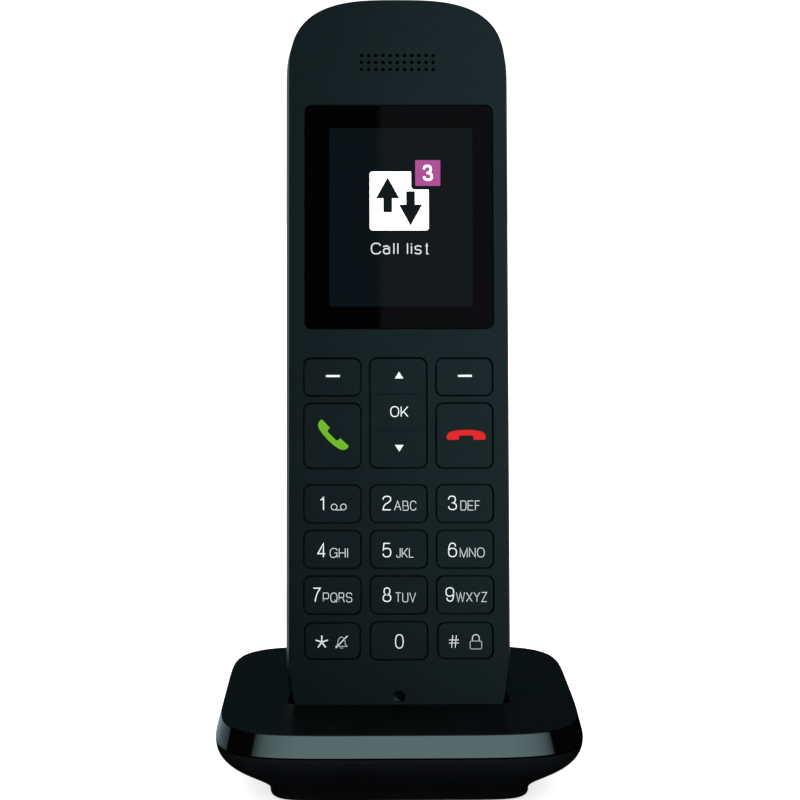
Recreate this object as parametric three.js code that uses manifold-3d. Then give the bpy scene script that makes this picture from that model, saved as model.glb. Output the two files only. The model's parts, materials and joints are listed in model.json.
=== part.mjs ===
// Cordless telephone: a slim handset that leans back in a square charging cradle.
// Millimetres, +Z up, +X to the user's right, -Y towards the user.
// The origin is on the table, under the middle of the cradle.
// Every handset piece lives in the handset's own leaning frame:
// X across the case, Y the depth behind the front face, Z the height along the case.

import * as THREE from 'three';
import { mergeVertices } from 'three/addons/utils/BufferGeometryUtils.js';
import Module from 'manifold-3d';

const wasm = await Module();
wasm.setup();

// ---- Driving dimensions: fits and curve steps --------------------------------

const GAP = 0.3;               // clearance kept between neighbouring pieces
const ARC_STEPS = 2;           // curve steps of a small corner
const ROUND_STEPS = 16;        // sides of a round piece

// ---- Driving dimensions: handset case ----------------------------------------

const LEAN = THREE.MathUtils.degToRad(10);
const FACE_Y = -14.5;          // where the front face meets the cradle's top
const CASE_HALF = 24.83;       // half the width at the seam, the widest line
const CASE_TOP = 155.35;       // top end, above the cradle's top face
const CASE_BOTTOM = -6;        // bottom end, inside the charging well
const CASE_DEPTH = 22;
const TOP_CURVE = 18;          // height of the rounded top
const TOP_POWER = 3.0;         // superellipse power of the rounded top
const FOOT_CURVE_WIDE = 6.4;   // lower corners: quarter ellipses
const FOOT_CURVE_TALL = 16;
const FACE_INSET = 0.85;       // the front face is narrower than the seam by this each side
const FACE_END_INSET = 0.05;   // and shorter than it by this at each end
const EDGE_SOFT = 0.2;         // broken edge round the front face
const SEAM_DEPTH = 8;          // depth of the seam between front and rear housing
const FACE_WALL = 2.2;
const SIDE_WALL = 1.8;
const REAR_WALL = 1.5;
const REAR_SIDE_CURVE = 8;     // how far the rear housing rounds in at each side
const REAR_END_CURVE = 4;      // and at each end
const REAR_RINGS = 5;

// ---- Driving dimensions: display, grille and microphone hole -------------------

const WINDOW = { x: 0.25, z: 106.8, wide: 41.5, tall: 49.6, corner: 1.4, near: 0.1, far: 1.1 };
const WINDOW_LEDGE = 2.3;      // width of the ledge the window is bonded to
const DISPLAY = { x: 0.7, z: 106.7, wide: 37, tall: 45, corner: 0.6, near: 2.6, far: 5.0 };
const GRILLE = { columns: 11, rows: 3, pitch: 1.58, z: 141.2, hole: 0.375 };
const MIC = { z: 1.5, hole: 1.32, radius: 2.5, near: 2.6, far: 5.1 };

// ---- Driving dimensions: keys ---------------------------------------------------

const KEY_WIDE = 12.2;
const KEY_TALL = 8.0;
const KEY_CORNER = 1.4;
const KEY_SLIT = 0.3;          // gap round each key cap
const KEY_FLANGE = 0.6;        // the hidden flange is wider than the cap by this
const KEY_COLUMN = 14.5;       // pitch of the key columns
const KEY_ROW = 9.95;          // pitch of the digit rows
const DIGIT_TOP_ROW = 43.5;
const SMALL_KEY = { wide: 11.8, tall: 7.6 };
const SOFT_KEY_Z = 71.3;
const CALL_KEY = { z: 58.4, tall: 14.0 };
const NAV_KEY = { z: 63.4, wide: 12.25, tall: 23.9 };
const CAP_FLANGE = { near: 2.5, far: 3.3 };
const NAV_FLANGE = { near: 2.9, far: 3.5 };
const NAV_PIVOT = { wide: 8, tall: 4, near: 3.8, far: 4.2 };

// ---- Driving dimensions: handset inside ------------------------------------------

const MAT = { half: 19.8, low: 8.2, high: 76.7, near: 4.9, far: 5.2, dome: 0.4, domeRadius: 2.6 };
const BOARD = { half: 19.8, low: -1.5, high: 134, near: 5.5, far: 6.5, corner: 4 };
const SHIELD = { z: 109, wide: 28, tall: 34, near: 6.8, far: 8.6 };
const EARPIECE = { wide: 20, tall: 9, corner: 4.4, near: 2.6, far: 6.0 };
const RINGER = { z: 108, radius: 9, near: 15.2, far: 20.1 };
const RINGER_SLOT = { count: 5, pitch: 2.4, wide: 11, tall: 1.1 };
const CASE_SCREW = { x: 15.5, z: 79, boss: 2.3, hole: 1.15, shank: 1.0, head: 2.2, headTall: 1.1 };

// ---- Driving dimensions: battery bay and its door ---------------------------------

const DOOR = { half: 20.5, low: 8.5, high: 84, corner: 3 };
const DOOR_LUG = { x: 8, wide: 5, low: 6.5, high: 10.5, near: 18.4, far: 20.2 };
const DOOR_NOTCH = { radius: 6, deep: 0.9 };
const CELL = { x: 5.55, depth: 15.05, radius: 5.15, long: 43.5, nub: 1.9, nubLong: 1.0 };
const TRAY = { half: 12.3, wall: 1.2, low: 12.2, high: 64.4, near: 8.6, far: 19.9 };
const TRAY_FLANGE = { half: 19.6, low: 12.2, high: 83, near: 16.6, far: 17.8 };
const BAY_LOW = TRAY.low + TRAY.wall;
const BAY_HIGH = TRAY.high - TRAY.wall;
const CONTACT_THICK = 0.5;
const CONTACT_WIDE = 8;
const SPRING = { turns: 2.5, wire: 0.3, wide: 3.4, narrow: 1.7, long: 2.6 };

// ---- Driving dimensions: charging contacts -----------------------------------------

const CHARGE_X = 12;
const CHARGE_DEPTH = 11;
const PAD = { wide: 4, deep: 5, low: -4.6, high: -3.4 };
const PAD_LEG = { wide: 2.4, thick: 0.6, low: -3.8, high: -3.0, top: 2 };
const PAD_CLEAR = 0.2;
const PIN = { radius: 1.2, low: -8.9, shoulder: -5.6, nose: 0.84, noseLow: -5.0, tip: -4.9 };
const BARREL = { radius: 2.0, bore: 1.35, low: -10.6, floor: -10.2, high: -6.8 };

// ---- Driving dimensions: cradle --------------------------------------------------

const DECK_Z = 17.3;           // the cradle's level top face
const DECK_HALF = 38.4;        // edge of the top face
const DECK_LIP = 0.2;          // thickness of the lip that covers the band's upper edge
const RIM_HALF = 39.65;        // outer edge of the band at its foot, the widest line
const RIM_Z = 12.65;
const CRADLE_POWER = 5.4;      // superellipse power of the square outline
const FOOT = { x: 27.95, y: 28.6 };   // half sizes of the foot the cradle stands on
const FOOT_POWER = 9;
const FOOT_TOP = 0.7;          // where the bowl runs into the foot's upright wall
const FOOT_EDGE = 0.35;        // broken edge under the foot
const BOWL_FULLNESS = 2.3;     // powers of the bowl's profile, convex above and hollow below
const BOWL_SWEEP = 2.4;
const BOWL_RINGS = 9;
const BOWL_LIFT = 1.6;         // the inside of the bowl starts this much above its rim
const RING_POINTS = 40;
const BAND_THICK = 0.9;
const BAND_GAP = 0.05;        // between the band and the lip over it
const DECK_WALL = 1.6;
const SHELL_WALL = 1.8;
const WELL = { half: 24.15, near: -0.3, far: 22.5, corner: 2.5, floor: -6.5, wall: 1.5 };
const MAT_THICK = 0.8;
const FOOT_CLEAR = 0.15;       // the foot's rim hangs this far above the table
const PLATE = { low: 1.1, high: 3.3 };
const CRADLE_BOARD = { half: 16, low: -16, high: 12, neck: 6, neckHigh: 24.8, bottom: 3.6, top: 4.6 };
const BALLAST = { near: 26.2, far: 30.5, half: 20, bottom: 8.4, top: 15.4 };
const CRADLE_SCREW = { x: 20.2, y: 20.6, boss: 2.8, bossHole: 1.35, hole: 1.5, shank: 1.2, head: 2.4 };
const CRADLE_SCREW_HEAD = { bottom: 1.2, top: 2.1, recess: 2.4 };
const SCREW_TOP = 11;
const INLET = { half: 4.2, front: 20.5, back: 33, bottom: 5.3, top: 11.4, bore: 2.6, pin: 0.65, deep: 9.5 };
const PORT = { half: 4.7, bottom: 4.9, top: 11.8, front: 19, back: 45 };

// The handset's leaning frame in the cradle's frame.
const HANDSET_PLACE = new THREE.Matrix4().makeRotationX(-LEAN).setPosition(0, FACE_Y, DECK_Z);

// ---- Materials ---------------------------------------------------------------

function material(color, roughness, metalness = 0) {
  return new THREE.MeshStandardMaterial({ color, roughness, metalness });
}

const caseBlack = material(0x1c2527, 0.55);
const keyBlack = material(0x1a2325, 0.5);
const glossBlack = material(0x101617, 0.08);
const windowBlack = material(0x08090a, 0.05);
const innerPlastic = material(0x2b2e30, 0.6);
const siliconeGrey = material(0x8d9296, 0.8);
const boardGreen = material(0x1d5a38, 0.5);
const bareSteel = material(0xa8acb0, 0.35, 1);
const goldPlate = material(0xc9a24a, 0.3, 1);
const cellWrap = material(0x2f6fb0, 0.4);
const rubberBlack = material(0x151515, 0.9);

// ---- Solids -------------------------------------------------------------------

// A closed geometry as a solid that can be joined and cut.
function solid(geometry) {
  const bare = geometry.clone();
  bare.deleteAttribute('normal');
  bare.deleteAttribute('uv');
  const merged = mergeVertices(bare, 1e-4);
  return new wasm.Manifold(new wasm.Mesh({
    numProp: 3,
    vertProperties: new Float32Array(merged.attributes.position.array),
    triVerts: new Uint32Array(merged.index.array),
  }));
}

// A solid back as a geometry.
function geometryOf(body) {
  const mesh = body.getMesh();
  const geometry = new THREE.BufferGeometry();
  geometry.setAttribute('position', new THREE.BufferAttribute(mesh.vertProperties, 3));
  geometry.setIndex(new THREE.BufferAttribute(mesh.triVerts, 1));
  return geometry;
}

function joined(first, ...others) {
  return others.reduce((body, geometry) => body.add(solid(geometry)), solid(first));
}

// Turn every triangle over when the skin faces inwards.
function facingOut(positions, index) {
  const corner = (k) => new THREE.Vector3().fromArray(positions, 3 * index[k]);
  let volume = 0;
  for (let k = 0; k < index.length; k += 3) {
    volume += corner(k).dot(corner(k + 1).cross(corner(k + 2)));
  }
  return volume > 0 ? index : index.toReversed();
}

// Closed skin through rings of equal point count, with a flat fan on each end ring.
function loft(rings) {
  const count = rings[0].length;
  const positions = rings.flat().flatMap((point) => point.toArray());
  const index = [];
  for (let level = 0; level < rings.length - 1; level++) {
    for (let i = 0; i < count; i++) {
      const a = level * count + i;
      const b = level * count + (i + 1) % count;
      index.push(a, b, a + count, b, b + count, a + count);
    }
  }
  for (const level of [0, rings.length - 1]) {
    const hub = positions.length / 3;
    const centre = rings[level].reduce((sum, point) => sum.add(point), new THREE.Vector3());
    positions.push(...centre.divideScalar(count).toArray());
    for (let i = 0; i < count; i++) {
      const a = level * count + i;
      const b = level * count + (i + 1) % count;
      index.push(...(level === 0 ? [hub, b, a] : [hub, a, b]));
    }
  }
  const geometry = new THREE.BufferGeometry();
  geometry.setAttribute('position', new THREE.Float32BufferAttribute(positions, 3));
  geometry.setIndex(facingOut(positions, index));
  return geometry;
}

function rectangle(wide, tall, x = 0, y = 0) {
  const shape = new THREE.Shape();
  shape.moveTo(x - wide / 2, y - tall / 2);
  shape.lineTo(x + wide / 2, y - tall / 2);
  shape.lineTo(x + wide / 2, y + tall / 2);
  shape.lineTo(x - wide / 2, y + tall / 2);
  return shape;
}

function roundedRectangle(wide, tall, radius, x = 0, y = 0) {
  const shape = new THREE.Shape();
  const reachX = wide / 2 - radius;
  const reachY = tall / 2 - radius;
  const quarter = Math.PI / 2;
  shape.absarc(x + reachX, y - reachY, radius, -quarter, 0);
  shape.absarc(x + reachX, y + reachY, radius, 0, quarter);
  shape.absarc(x - reachX, y + reachY, radius, quarter, 2 * quarter);
  shape.absarc(x - reachX, y - reachY, radius, 2 * quarter, 3 * quarter);
  return shape;
}

// A flat plate whose outline is drawn in X and Z, from one depth to another.
function plate(shape, near, far) {
  const options = { depth: far - near, bevelEnabled: false, curveSegments: ARC_STEPS };
  const geometry = new THREE.ExtrudeGeometry(shape, options);
  geometry.translate(0, 0, -far);
  geometry.rotateX(Math.PI / 2);
  return geometry;
}

// A level slab whose outline is drawn in X and Y, from one height to another.
function slab(shape, bottom, top) {
  const options = { depth: top - bottom, bevelEnabled: false, curveSegments: ARC_STEPS };
  const geometry = new THREE.ExtrudeGeometry(shape, options);
  geometry.translate(0, 0, bottom);
  return geometry;
}

// A round post along the depth axis.
function depthPost(radius, near, far, x = 0, z = 0, sides = ROUND_STEPS) {
  const geometry = new THREE.CylinderGeometry(radius, radius, far - near, sides);
  geometry.translate(x, (near + far) / 2, z);
  return geometry;
}

// A round post standing along Z.
function post(radius, bottom, top, x = 0, y = 0, sides = ROUND_STEPS) {
  const geometry = new THREE.CylinderGeometry(radius, radius, top - bottom, sides);
  geometry.rotateX(Math.PI / 2);
  geometry.translate(x, y, (bottom + top) / 2);
  return geometry;
}

// A turned piece standing along Z, from pairs of radius and height.
function turned(profile, sides = ROUND_STEPS) {
  const geometry = new THREE.LatheGeometry(profile.map(([r, z]) => new THREE.Vector2(r, z)), sides);
  geometry.rotateX(Math.PI / 2);
  return geometry;
}

function part(name, body, look) {
  const mesh = new THREE.Mesh(body instanceof THREE.BufferGeometry ? body : geometryOf(body), look);
  mesh.name = name;
  return mesh;
}

// ---- Handset case -----------------------------------------------------------------

// One ring of the case outline at a depth, pulled in at the sides and at the ends.
function caseRing(depth, side, end) {
  const half = CASE_HALF - side;
  const cornerWide = Math.max(FOOT_CURVE_WIDE - side, 2);
  const cornerTall = FOOT_CURVE_TALL - end;
  const topTall = TOP_CURVE - end;
  const bottom = CASE_BOTTOM + end;
  const top = CASE_TOP - end;
  const right = [];
  for (let i = 0; i <= 4; i++) {
    const angle = (i / 4 - 1) * Math.PI / 2;
    const x = half - cornerWide + cornerWide * Math.cos(angle);
    right.push(new THREE.Vector3(x, depth, bottom + cornerTall * (1 + Math.sin(angle))));
  }
  for (let i = 0; i < 9; i++) {
    const angle = i / 9 * Math.PI / 2;
    const x = half * Math.cos(angle) ** (2 / TOP_POWER);
    const z = top - topTall + topTall * Math.sin(angle) ** (2 / TOP_POWER);
    right.push(new THREE.Vector3(x, depth, z));
  }
  const left = right.toReversed().map((point) => new THREE.Vector3(-point.x, depth, point.z));
  return [...right, new THREE.Vector3(0, depth, top), ...left];
}

function frontSkin() {
  return loft([
    caseRing(0, FACE_INSET + EDGE_SOFT, FACE_END_INSET + EDGE_SOFT),
    caseRing(EDGE_SOFT, FACE_INSET, FACE_END_INSET),
    caseRing(SEAM_DEPTH, 0, 0),
  ]);
}

function frontHollow() {
  const near = caseRing(FACE_WALL, FACE_INSET + SIDE_WALL, FACE_END_INSET + SIDE_WALL);
  return loft([near, caseRing(SEAM_DEPTH + 1, SIDE_WALL, SIDE_WALL)]);
}

// The rounded back between two depths; wall pulls the whole skin in.
function rearSkin(near, far, wall) {
  const rings = [];
  for (let i = 0; i <= REAR_RINGS; i++) {
    const angle = i / REAR_RINGS * Math.PI / 2;
    const inward = 1 - Math.cos(angle);
    const depth = near + (far - near) * Math.sin(angle);
    rings.push(caseRing(depth, wall + REAR_SIDE_CURVE * inward, wall + REAR_END_CURVE * inward));
  }
  return loft(rings);
}

function rearOuter() {
  return solid(rearSkin(SEAM_DEPTH + GAP, CASE_DEPTH, 0));
}

function rearHollow() {
  return solid(rearSkin(SEAM_DEPTH, CASE_DEPTH - REAR_WALL, SIDE_WALL));
}

// ---- Keys ---------------------------------------------------------------------------

const DIGIT_NAMES = ['key_1', 'key_2', 'key_3', 'key_4', 'key_5', 'key_6',
  'key_7', 'key_8', 'key_9', 'key_star', 'key_0', 'key_hash'];

function keyList() {
  const cap = { wide: KEY_WIDE, tall: KEY_TALL, flange: CAP_FLANGE };
  const keys = DIGIT_NAMES.map((name, i) => {
    const column = i % 3 - 1;
    const row = Math.floor(i / 3);
    const size = row === 3 && column !== 0 ? { ...cap, ...SMALL_KEY } : cap;
    return { name, x: column * KEY_COLUMN, z: DIGIT_TOP_ROW - row * KEY_ROW, ...size };
  });
  for (const [side, hand] of [[-1, 'left'], [1, 'right']]) {
    keys.push({ name: `softkey_${hand}`, x: side * KEY_COLUMN, z: SOFT_KEY_Z, ...cap });
  }
  keys.push({ name: 'call_key', x: -KEY_COLUMN, ...cap, ...CALL_KEY });
  keys.push({ name: 'end_key', x: KEY_COLUMN, ...cap, ...CALL_KEY });
  keys.push({ name: 'nav_key', x: 0, ...NAV_KEY, flange: NAV_FLANGE });
  return keys;
}

const KEYS = keyList();

function keyOutline(key, grow) {
  return roundedRectangle(key.wide + 2 * grow, key.tall + 2 * grow, KEY_CORNER + grow);
}

function keyCap(key) {
  const cap = plate(keyOutline(key, 0), 0, key.flange.near);
  const flange = plate(keyOutline(key, KEY_FLANGE), key.flange.near, key.flange.far);
  const mesh = part(key.name, joined(cap, flange), keyBlack);
  mesh.position.set(key.x, 0, key.z);
  return mesh;
}

function keyOpening(key) {
  return plate(keyOutline(key, KEY_SLIT), -1, FACE_WALL + 1).translate(key.x, 0, key.z);
}

function navPivot() {
  const shape = rectangle(NAV_PIVOT.wide, NAV_PIVOT.tall, 0, NAV_KEY.z);
  return part('nav_pivot', plate(shape, NAV_PIVOT.near, NAV_PIVOT.far), innerPlastic);
}

// ---- Handset housings -----------------------------------------------------------------

function windowOutline(grow) {
  const { wide, tall, corner, x, z } = WINDOW;
  return roundedRectangle(wide + 2 * grow, tall + 2 * grow, Math.max(corner + grow, 0.5), x, z);
}

function grilleHoles() {
  const holes = [];
  for (let row = 0; row < GRILLE.rows; row++) {
    for (let column = 0; column < GRILLE.columns; column++) {
      const x = (column - (GRILLE.columns - 1) / 2) * GRILLE.pitch;
      const z = GRILLE.z + (row - (GRILLE.rows - 1) / 2) * GRILLE.pitch;
      holes.push(depthPost(GRILLE.hole, -1, FACE_WALL + 1, x, z, 6));
    }
  }
  return holes;
}

function frontHousing() {
  const cuts = [
    frontHollow(),
    plate(windowOutline(GAP), -1, WINDOW.far + GAP),
    plate(windowOutline(-WINDOW_LEDGE), 0, FACE_WALL + 1),
    depthPost(MIC.hole, -1, FACE_WALL + 1, 0, MIC.z, 12),
    ...KEYS.map(keyOpening),
    ...grilleHoles(),
  ];
  let body = cuts.reduce((shell, cut) => shell.subtract(solid(cut)), solid(frontSkin()));
  for (const side of [-1, 1]) {
    const { x, z, boss, hole } = CASE_SCREW;
    const end = TRAY_FLANGE.near - GAP;
    body = body.add(solid(depthPost(boss, FACE_WALL - 0.5, end, side * x, z, 12)));
    body = body.subtract(solid(depthPost(hole, FACE_WALL + 1, end + 1, side * x, z, 12)));
  }
  return part('front_housing', body, caseBlack);
}

function doorOutline(grow) {
  const tall = DOOR.high - DOOR.low;
  const middle = (DOOR.high + DOOR.low) / 2;
  return roundedRectangle(2 * (DOOR.half + grow), tall + 2 * grow, DOOR.corner + grow, 0, middle);
}

function ringerSlots() {
  const slots = [];
  for (let i = 0; i < RINGER_SLOT.count; i++) {
    const z = RINGER.z + (i - (RINGER_SLOT.count - 1) / 2) * RINGER_SLOT.pitch;
    const shape = roundedRectangle(RINGER_SLOT.wide, RINGER_SLOT.tall, RINGER_SLOT.tall / 2 - 0.01, 0, z);
    slots.push(plate(shape, CASE_DEPTH - REAR_WALL - 1, CASE_DEPTH + 1));
  }
  return slots;
}

function chargeWindow(side) {
  const shape = rectangle(PAD.wide + 2 * PAD_CLEAR, PAD.deep + 2 * PAD_CLEAR, side * CHARGE_X, CHARGE_DEPTH);
  return slab(shape, CASE_BOTTOM - 1, PAD.low + 1);
}

function rearHousing() {
  const notchFloor = CASE_DEPTH - DOOR_NOTCH.deep;
  const fingerNotch = depthPost(DOOR_NOTCH.radius, notchFloor, CASE_DEPTH + 1, 0, DOOR.high, 20);
  const cuts = [
    plate(doorOutline(GAP), SEAM_DEPTH + 2, CASE_DEPTH + 1),
    fingerNotch,
    ...ringerSlots(),
    chargeWindow(-1),
    chargeWindow(1),
  ];
  const shell = rearOuter().subtract(rearHollow());
  return part('rear_housing', cuts.reduce((body, cut) => body.subtract(solid(cut)), shell), caseBlack);
}

// The door is the piece of the rounded back that its outline cuts out, with two hook lugs.
function batteryDoor() {
  const outline = solid(plate(doorOutline(0), SEAM_DEPTH + 2, CASE_DEPTH + 1));
  let body = rearOuter().intersect(outline).subtract(rearHollow());
  for (const side of [-1, 1]) {
    const { x, wide, low, high, near, far } = DOOR_LUG;
    const lug = plate(rectangle(wide, high - low, side * x, (low + high) / 2), near, far);
    const root = plate(rectangle(wide, 2, side * x, high - 1), near, CASE_DEPTH - REAR_WALL / 2);
    body = body.add(joined(lug, root));
  }
  return part('battery_door', body, caseBlack);
}

// ---- Handset inside ------------------------------------------------------------------

function displayWindow() {
  return part('display_window', plate(windowOutline(0), WINDOW.near, WINDOW.far), windowBlack);
}

function displayModule() {
  const shape = roundedRectangle(DISPLAY.wide, DISPLAY.tall, DISPLAY.corner, DISPLAY.x, DISPLAY.z);
  return part('display_module', plate(shape, DISPLAY.near, DISPLAY.far), innerPlastic);
}

function earpiece() {
  const shape = roundedRectangle(EARPIECE.wide, EARPIECE.tall, EARPIECE.corner, 0, GRILLE.z);
  return part('earpiece_speaker', plate(shape, EARPIECE.near, EARPIECE.far), innerPlastic);
}

function microphone() {
  return part('microphone', depthPost(MIC.radius, MIC.near, MIC.far, 0, MIC.z), bareSteel);
}

function ringer() {
  const { radius, near, far, z } = RINGER;
  return part('ringer_speaker', depthPost(radius, near, far, 0, z, 24), innerPlastic);
}

// Silicone sheet with a low dome under every key.
function keypadMat() {
  const outline = rectangle(2 * MAT.half, MAT.high - MAT.low, 0, (MAT.high + MAT.low) / 2);
  const sheet = plate(outline, MAT.near, MAT.far);
  const domes = KEYS.filter((key) => key.name !== 'nav_key').map((key) => {
    const dome = new THREE.CylinderGeometry(MAT.domeRadius, MAT.domeRadius / 2, MAT.dome + 0.1, 8);
    return dome.translate(key.x, MAT.near - MAT.dome / 2 + 0.05, key.z);
  });
  return part('keypad_mat', joined(sheet, ...domes), siliconeGrey);
}

function mainBoard() {
  const middle = (BOARD.low + BOARD.high) / 2;
  const shape = roundedRectangle(2 * BOARD.half, BOARD.high - BOARD.low, BOARD.corner, 0, middle);
  let body = solid(plate(shape, BOARD.near, BOARD.far));
  for (const side of [-1, 1]) {
    const { boss, x, z } = CASE_SCREW;
    const hole = depthPost(boss + 0.4, BOARD.near - 1, BOARD.far + 1, side * x, z);
    body = body.subtract(solid(hole));
  }
  return part('main_board', body, boardGreen);
}

function shieldCan() {
  const shape = rectangle(SHIELD.wide, SHIELD.tall, 0, SHIELD.z);
  return part('rf_shield', plate(shape, SHIELD.near, SHIELD.far), bareSteel);
}

// Open box for the two cells, with a flange that closes the bay round them.
function batteryTray() {
  const boxMiddle = (TRAY.low + TRAY.high) / 2;
  const flangeMiddle = (TRAY_FLANGE.low + TRAY_FLANGE.high) / 2;
  const box = plate(rectangle(2 * TRAY.half, TRAY.high - TRAY.low, 0, boxMiddle), TRAY.near, TRAY.far);
  const flangeTall = TRAY_FLANGE.high - TRAY_FLANGE.low;
  const flangeShape = roundedRectangle(2 * TRAY_FLANGE.half, flangeTall, 2, 0, flangeMiddle);
  const flange = plate(flangeShape, TRAY_FLANGE.near, TRAY_FLANGE.far);
  const bay = rectangle(2 * (TRAY.half - TRAY.wall), BAY_HIGH - BAY_LOW, 0, boxMiddle);
  let body = joined(box, flange).subtract(solid(plate(bay, TRAY.near + 1, TRAY.far + 1)));
  for (const side of [-1, 1]) {
    const { x, z, shank } = CASE_SCREW;
    const { near, far } = TRAY_FLANGE;
    body = body.subtract(solid(depthPost(shank + GAP, near - 1, far + 1, side * x, z, 12)));
  }
  return part('battery_tray', body, innerPlastic);
}

// A small round cell; its nub is at the top, and a flipped cell has it at the bottom.
function cell(name, x, bodyLow, flipped) {
  const { radius, long, nub, nubLong } = CELL;
  const mesh = part(name, turned([[0, 0], [radius, 0], [radius, long], [nub, long],
    [nub, long + nubLong], [0, long + nubLong]]), cellWrap);
  mesh.position.set(x, CELL.depth, flipped ? bodyLow + long : bodyLow);
  mesh.rotation.x = flipped ? Math.PI : 0;
  return mesh;
}

// Cone-shaped contact spring, standing on z = 0 and narrowing upwards.
function contactSpring() {
  const route = [];
  const steps = SPRING.turns * 10;
  for (let i = 0; i <= steps; i++) {
    const along = i / steps;
    const angle = along * SPRING.turns * 2 * Math.PI;
    const radius = SPRING.wide + (SPRING.narrow - SPRING.wide) * along;
    const x = radius * Math.cos(angle);
    const y = radius * Math.sin(angle);
    route.push(new THREE.Vector3(x, y, along * SPRING.long));
  }
  const wire = new THREE.Shape();
  wire.absarc(0, 0, SPRING.wire, 0, 2 * Math.PI);
  const extrudePath = new THREE.CatmullRomCurve3(route);
  return new THREE.ExtrudeGeometry(wire, { steps, extrudePath, curveSegments: 2 });
}

function contactPlate(x, wide, low) {
  const shape = rectangle(wide, CELL.radius + 3, x, CELL.depth);
  return slab(shape, low, low + CONTACT_THICK);
}

function batteryContacts() {
  const low = BAY_LOW + GAP;
  const high = BAY_HIGH - GAP - CONTACT_THICK;
  const reach = CONTACT_THICK - 0.2;
  const upward = contactSpring().translate(-CELL.x, CELL.depth, low + reach);
  const downward = contactSpring().rotateX(Math.PI).translate(CELL.x, CELL.depth, high + 0.2);
  return [
    part('contact_bridge', joined(contactPlate(0, 2 * CELL.x + CONTACT_WIDE, low), upward), bareSteel),
    part('contact_left', contactPlate(-CELL.x, CONTACT_WIDE, high), bareSteel),
    part('contact_right', joined(contactPlate(CELL.x, CONTACT_WIDE, high), downward), bareSteel),
  ];
}

function batteryCells() {
  const springEnd = CONTACT_THICK + SPRING.long + SPRING.wire + 2 * GAP;
  const lowLeft = BAY_LOW + springEnd;
  const lowRight = BAY_HIGH - springEnd - CELL.long;
  return [
    cell('battery_cell_left', -CELL.x, lowLeft, false),
    cell('battery_cell_right', CELL.x, lowRight, true),
  ];
}

// Contact pad in the bottom end of the case, with a leg up to the main board.
function chargePad(name, side) {
  const x = side * CHARGE_X;
  const pad = slab(rectangle(PAD.wide, PAD.deep, x, CHARGE_DEPTH), PAD.low, PAD.high);
  const legNear = BOARD.far + GAP;
  const legFar = CHARGE_DEPTH;
  const { wide, thick, low, high, top } = PAD_LEG;
  const leg = slab(rectangle(wide, legFar - legNear, x, (legNear + legFar) / 2), low, high);
  const tab = slab(rectangle(wide, thick, x, legNear + thick / 2), low, top);
  return part(name, joined(pad, leg, tab), goldPlate);
}

function caseScrew(name, side) {
  const { x, z, shank, head, headTall } = CASE_SCREW;
  const seat = TRAY_FLANGE.far + GAP;
  const cap = depthPost(head, seat, seat + headTall, 0, 0, 12);
  const stem = depthPost(shank, SEAM_DEPTH, seat + headTall / 2, 0, 0, 10);
  const mesh = part(name, joined(cap, stem), bareSteel);
  mesh.position.set(side * x, 0, z);
  return mesh;
}

// ---- Cradle -----------------------------------------------------------------------------

// One level ring of the square-round cradle outline.
function cradleRing(z, halfX, halfY, power) {
  const ring = [];
  for (let i = 0; i < RING_POINTS; i++) {
    const angle = i / RING_POINTS * 2 * Math.PI;
    const c = Math.cos(angle);
    const s = Math.sin(angle);
    const x = halfX * Math.sign(c) * Math.abs(c) ** (2 / power);
    const y = halfY * Math.sign(s) * Math.abs(s) ** (2 / power);
    ring.push(new THREE.Vector3(x, y, z));
  }
  return ring;
}

function squareRing(z, half) {
  return cradleRing(z, half, half, CRADLE_POWER);
}

// Half width of the band's sloping outer face at a height.
function bandHalf(z) {
  return RIM_HALF + (DECK_HALF - RIM_HALF) * (z - RIM_Z) / (DECK_Z - RIM_Z);
}

// A sloping block that follows the band's face, pulled in by an inset.
function slopedBlock(low, high, inset) {
  return loft([squareRing(low, bandHalf(low) - inset), squareRing(high, bandHalf(high) - inset)]);
}

function glossBand() {
  const outer = solid(slopedBlock(RIM_Z, DECK_Z - DECK_LIP - BAND_GAP, 0));
  const inner = solid(slopedBlock(RIM_Z - 1, DECK_Z + 1, BAND_THICK));
  return part('gloss_band', outer.subtract(inner), glossBlack);
}

// The well's outline in the handset's frame, pushed out by a wall, between two heights.
function wellBlock(wall, low, high) {
  const deep = WELL.far - WELL.near + 2 * wall;
  const middle = (WELL.far + WELL.near) / 2;
  const shape = roundedRectangle(2 * (WELL.half + wall), deep, WELL.corner + wall, 0, middle);
  return slab(shape, low, high).applyMatrix4(HANDSET_PLACE);
}

function screwPlaces() {
  const { x, y } = CRADLE_SCREW;
  return [[-x, -y], [x, -y], [-x, y], [x, y]];
}

// Level top face with a lip over the band, the well's mouth and four screw bosses.
function cradleTop() {
  const inset = BAND_THICK + GAP;
  const skin = solid(slopedBlock(RIM_Z, DECK_Z, inset));
  const lip = solid(slopedBlock(DECK_Z - DECK_LIP, DECK_Z, 0));
  const hollow = solid(slopedBlock(RIM_Z - 1, DECK_Z - DECK_WALL, inset + DECK_WALL));
  const mouth = solid(wellBlock(0, WELL.floor, DECK_Z));
  let body = skin.add(lip).subtract(hollow).subtract(mouth);
  for (const [x, y] of screwPlaces()) {
    const { boss, bossHole } = CRADLE_SCREW;
    body = body.add(solid(post(boss, PLATE.high + GAP, DECK_Z - DECK_WALL / 2, x, y, 12)));
    body = body.subtract(solid(post(bossHole, PLATE.high - 1, SCREW_TOP + 1, x, y, 12)));
  }
  return part('cradle_top_shell', body, caseBlack);
}

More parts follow.
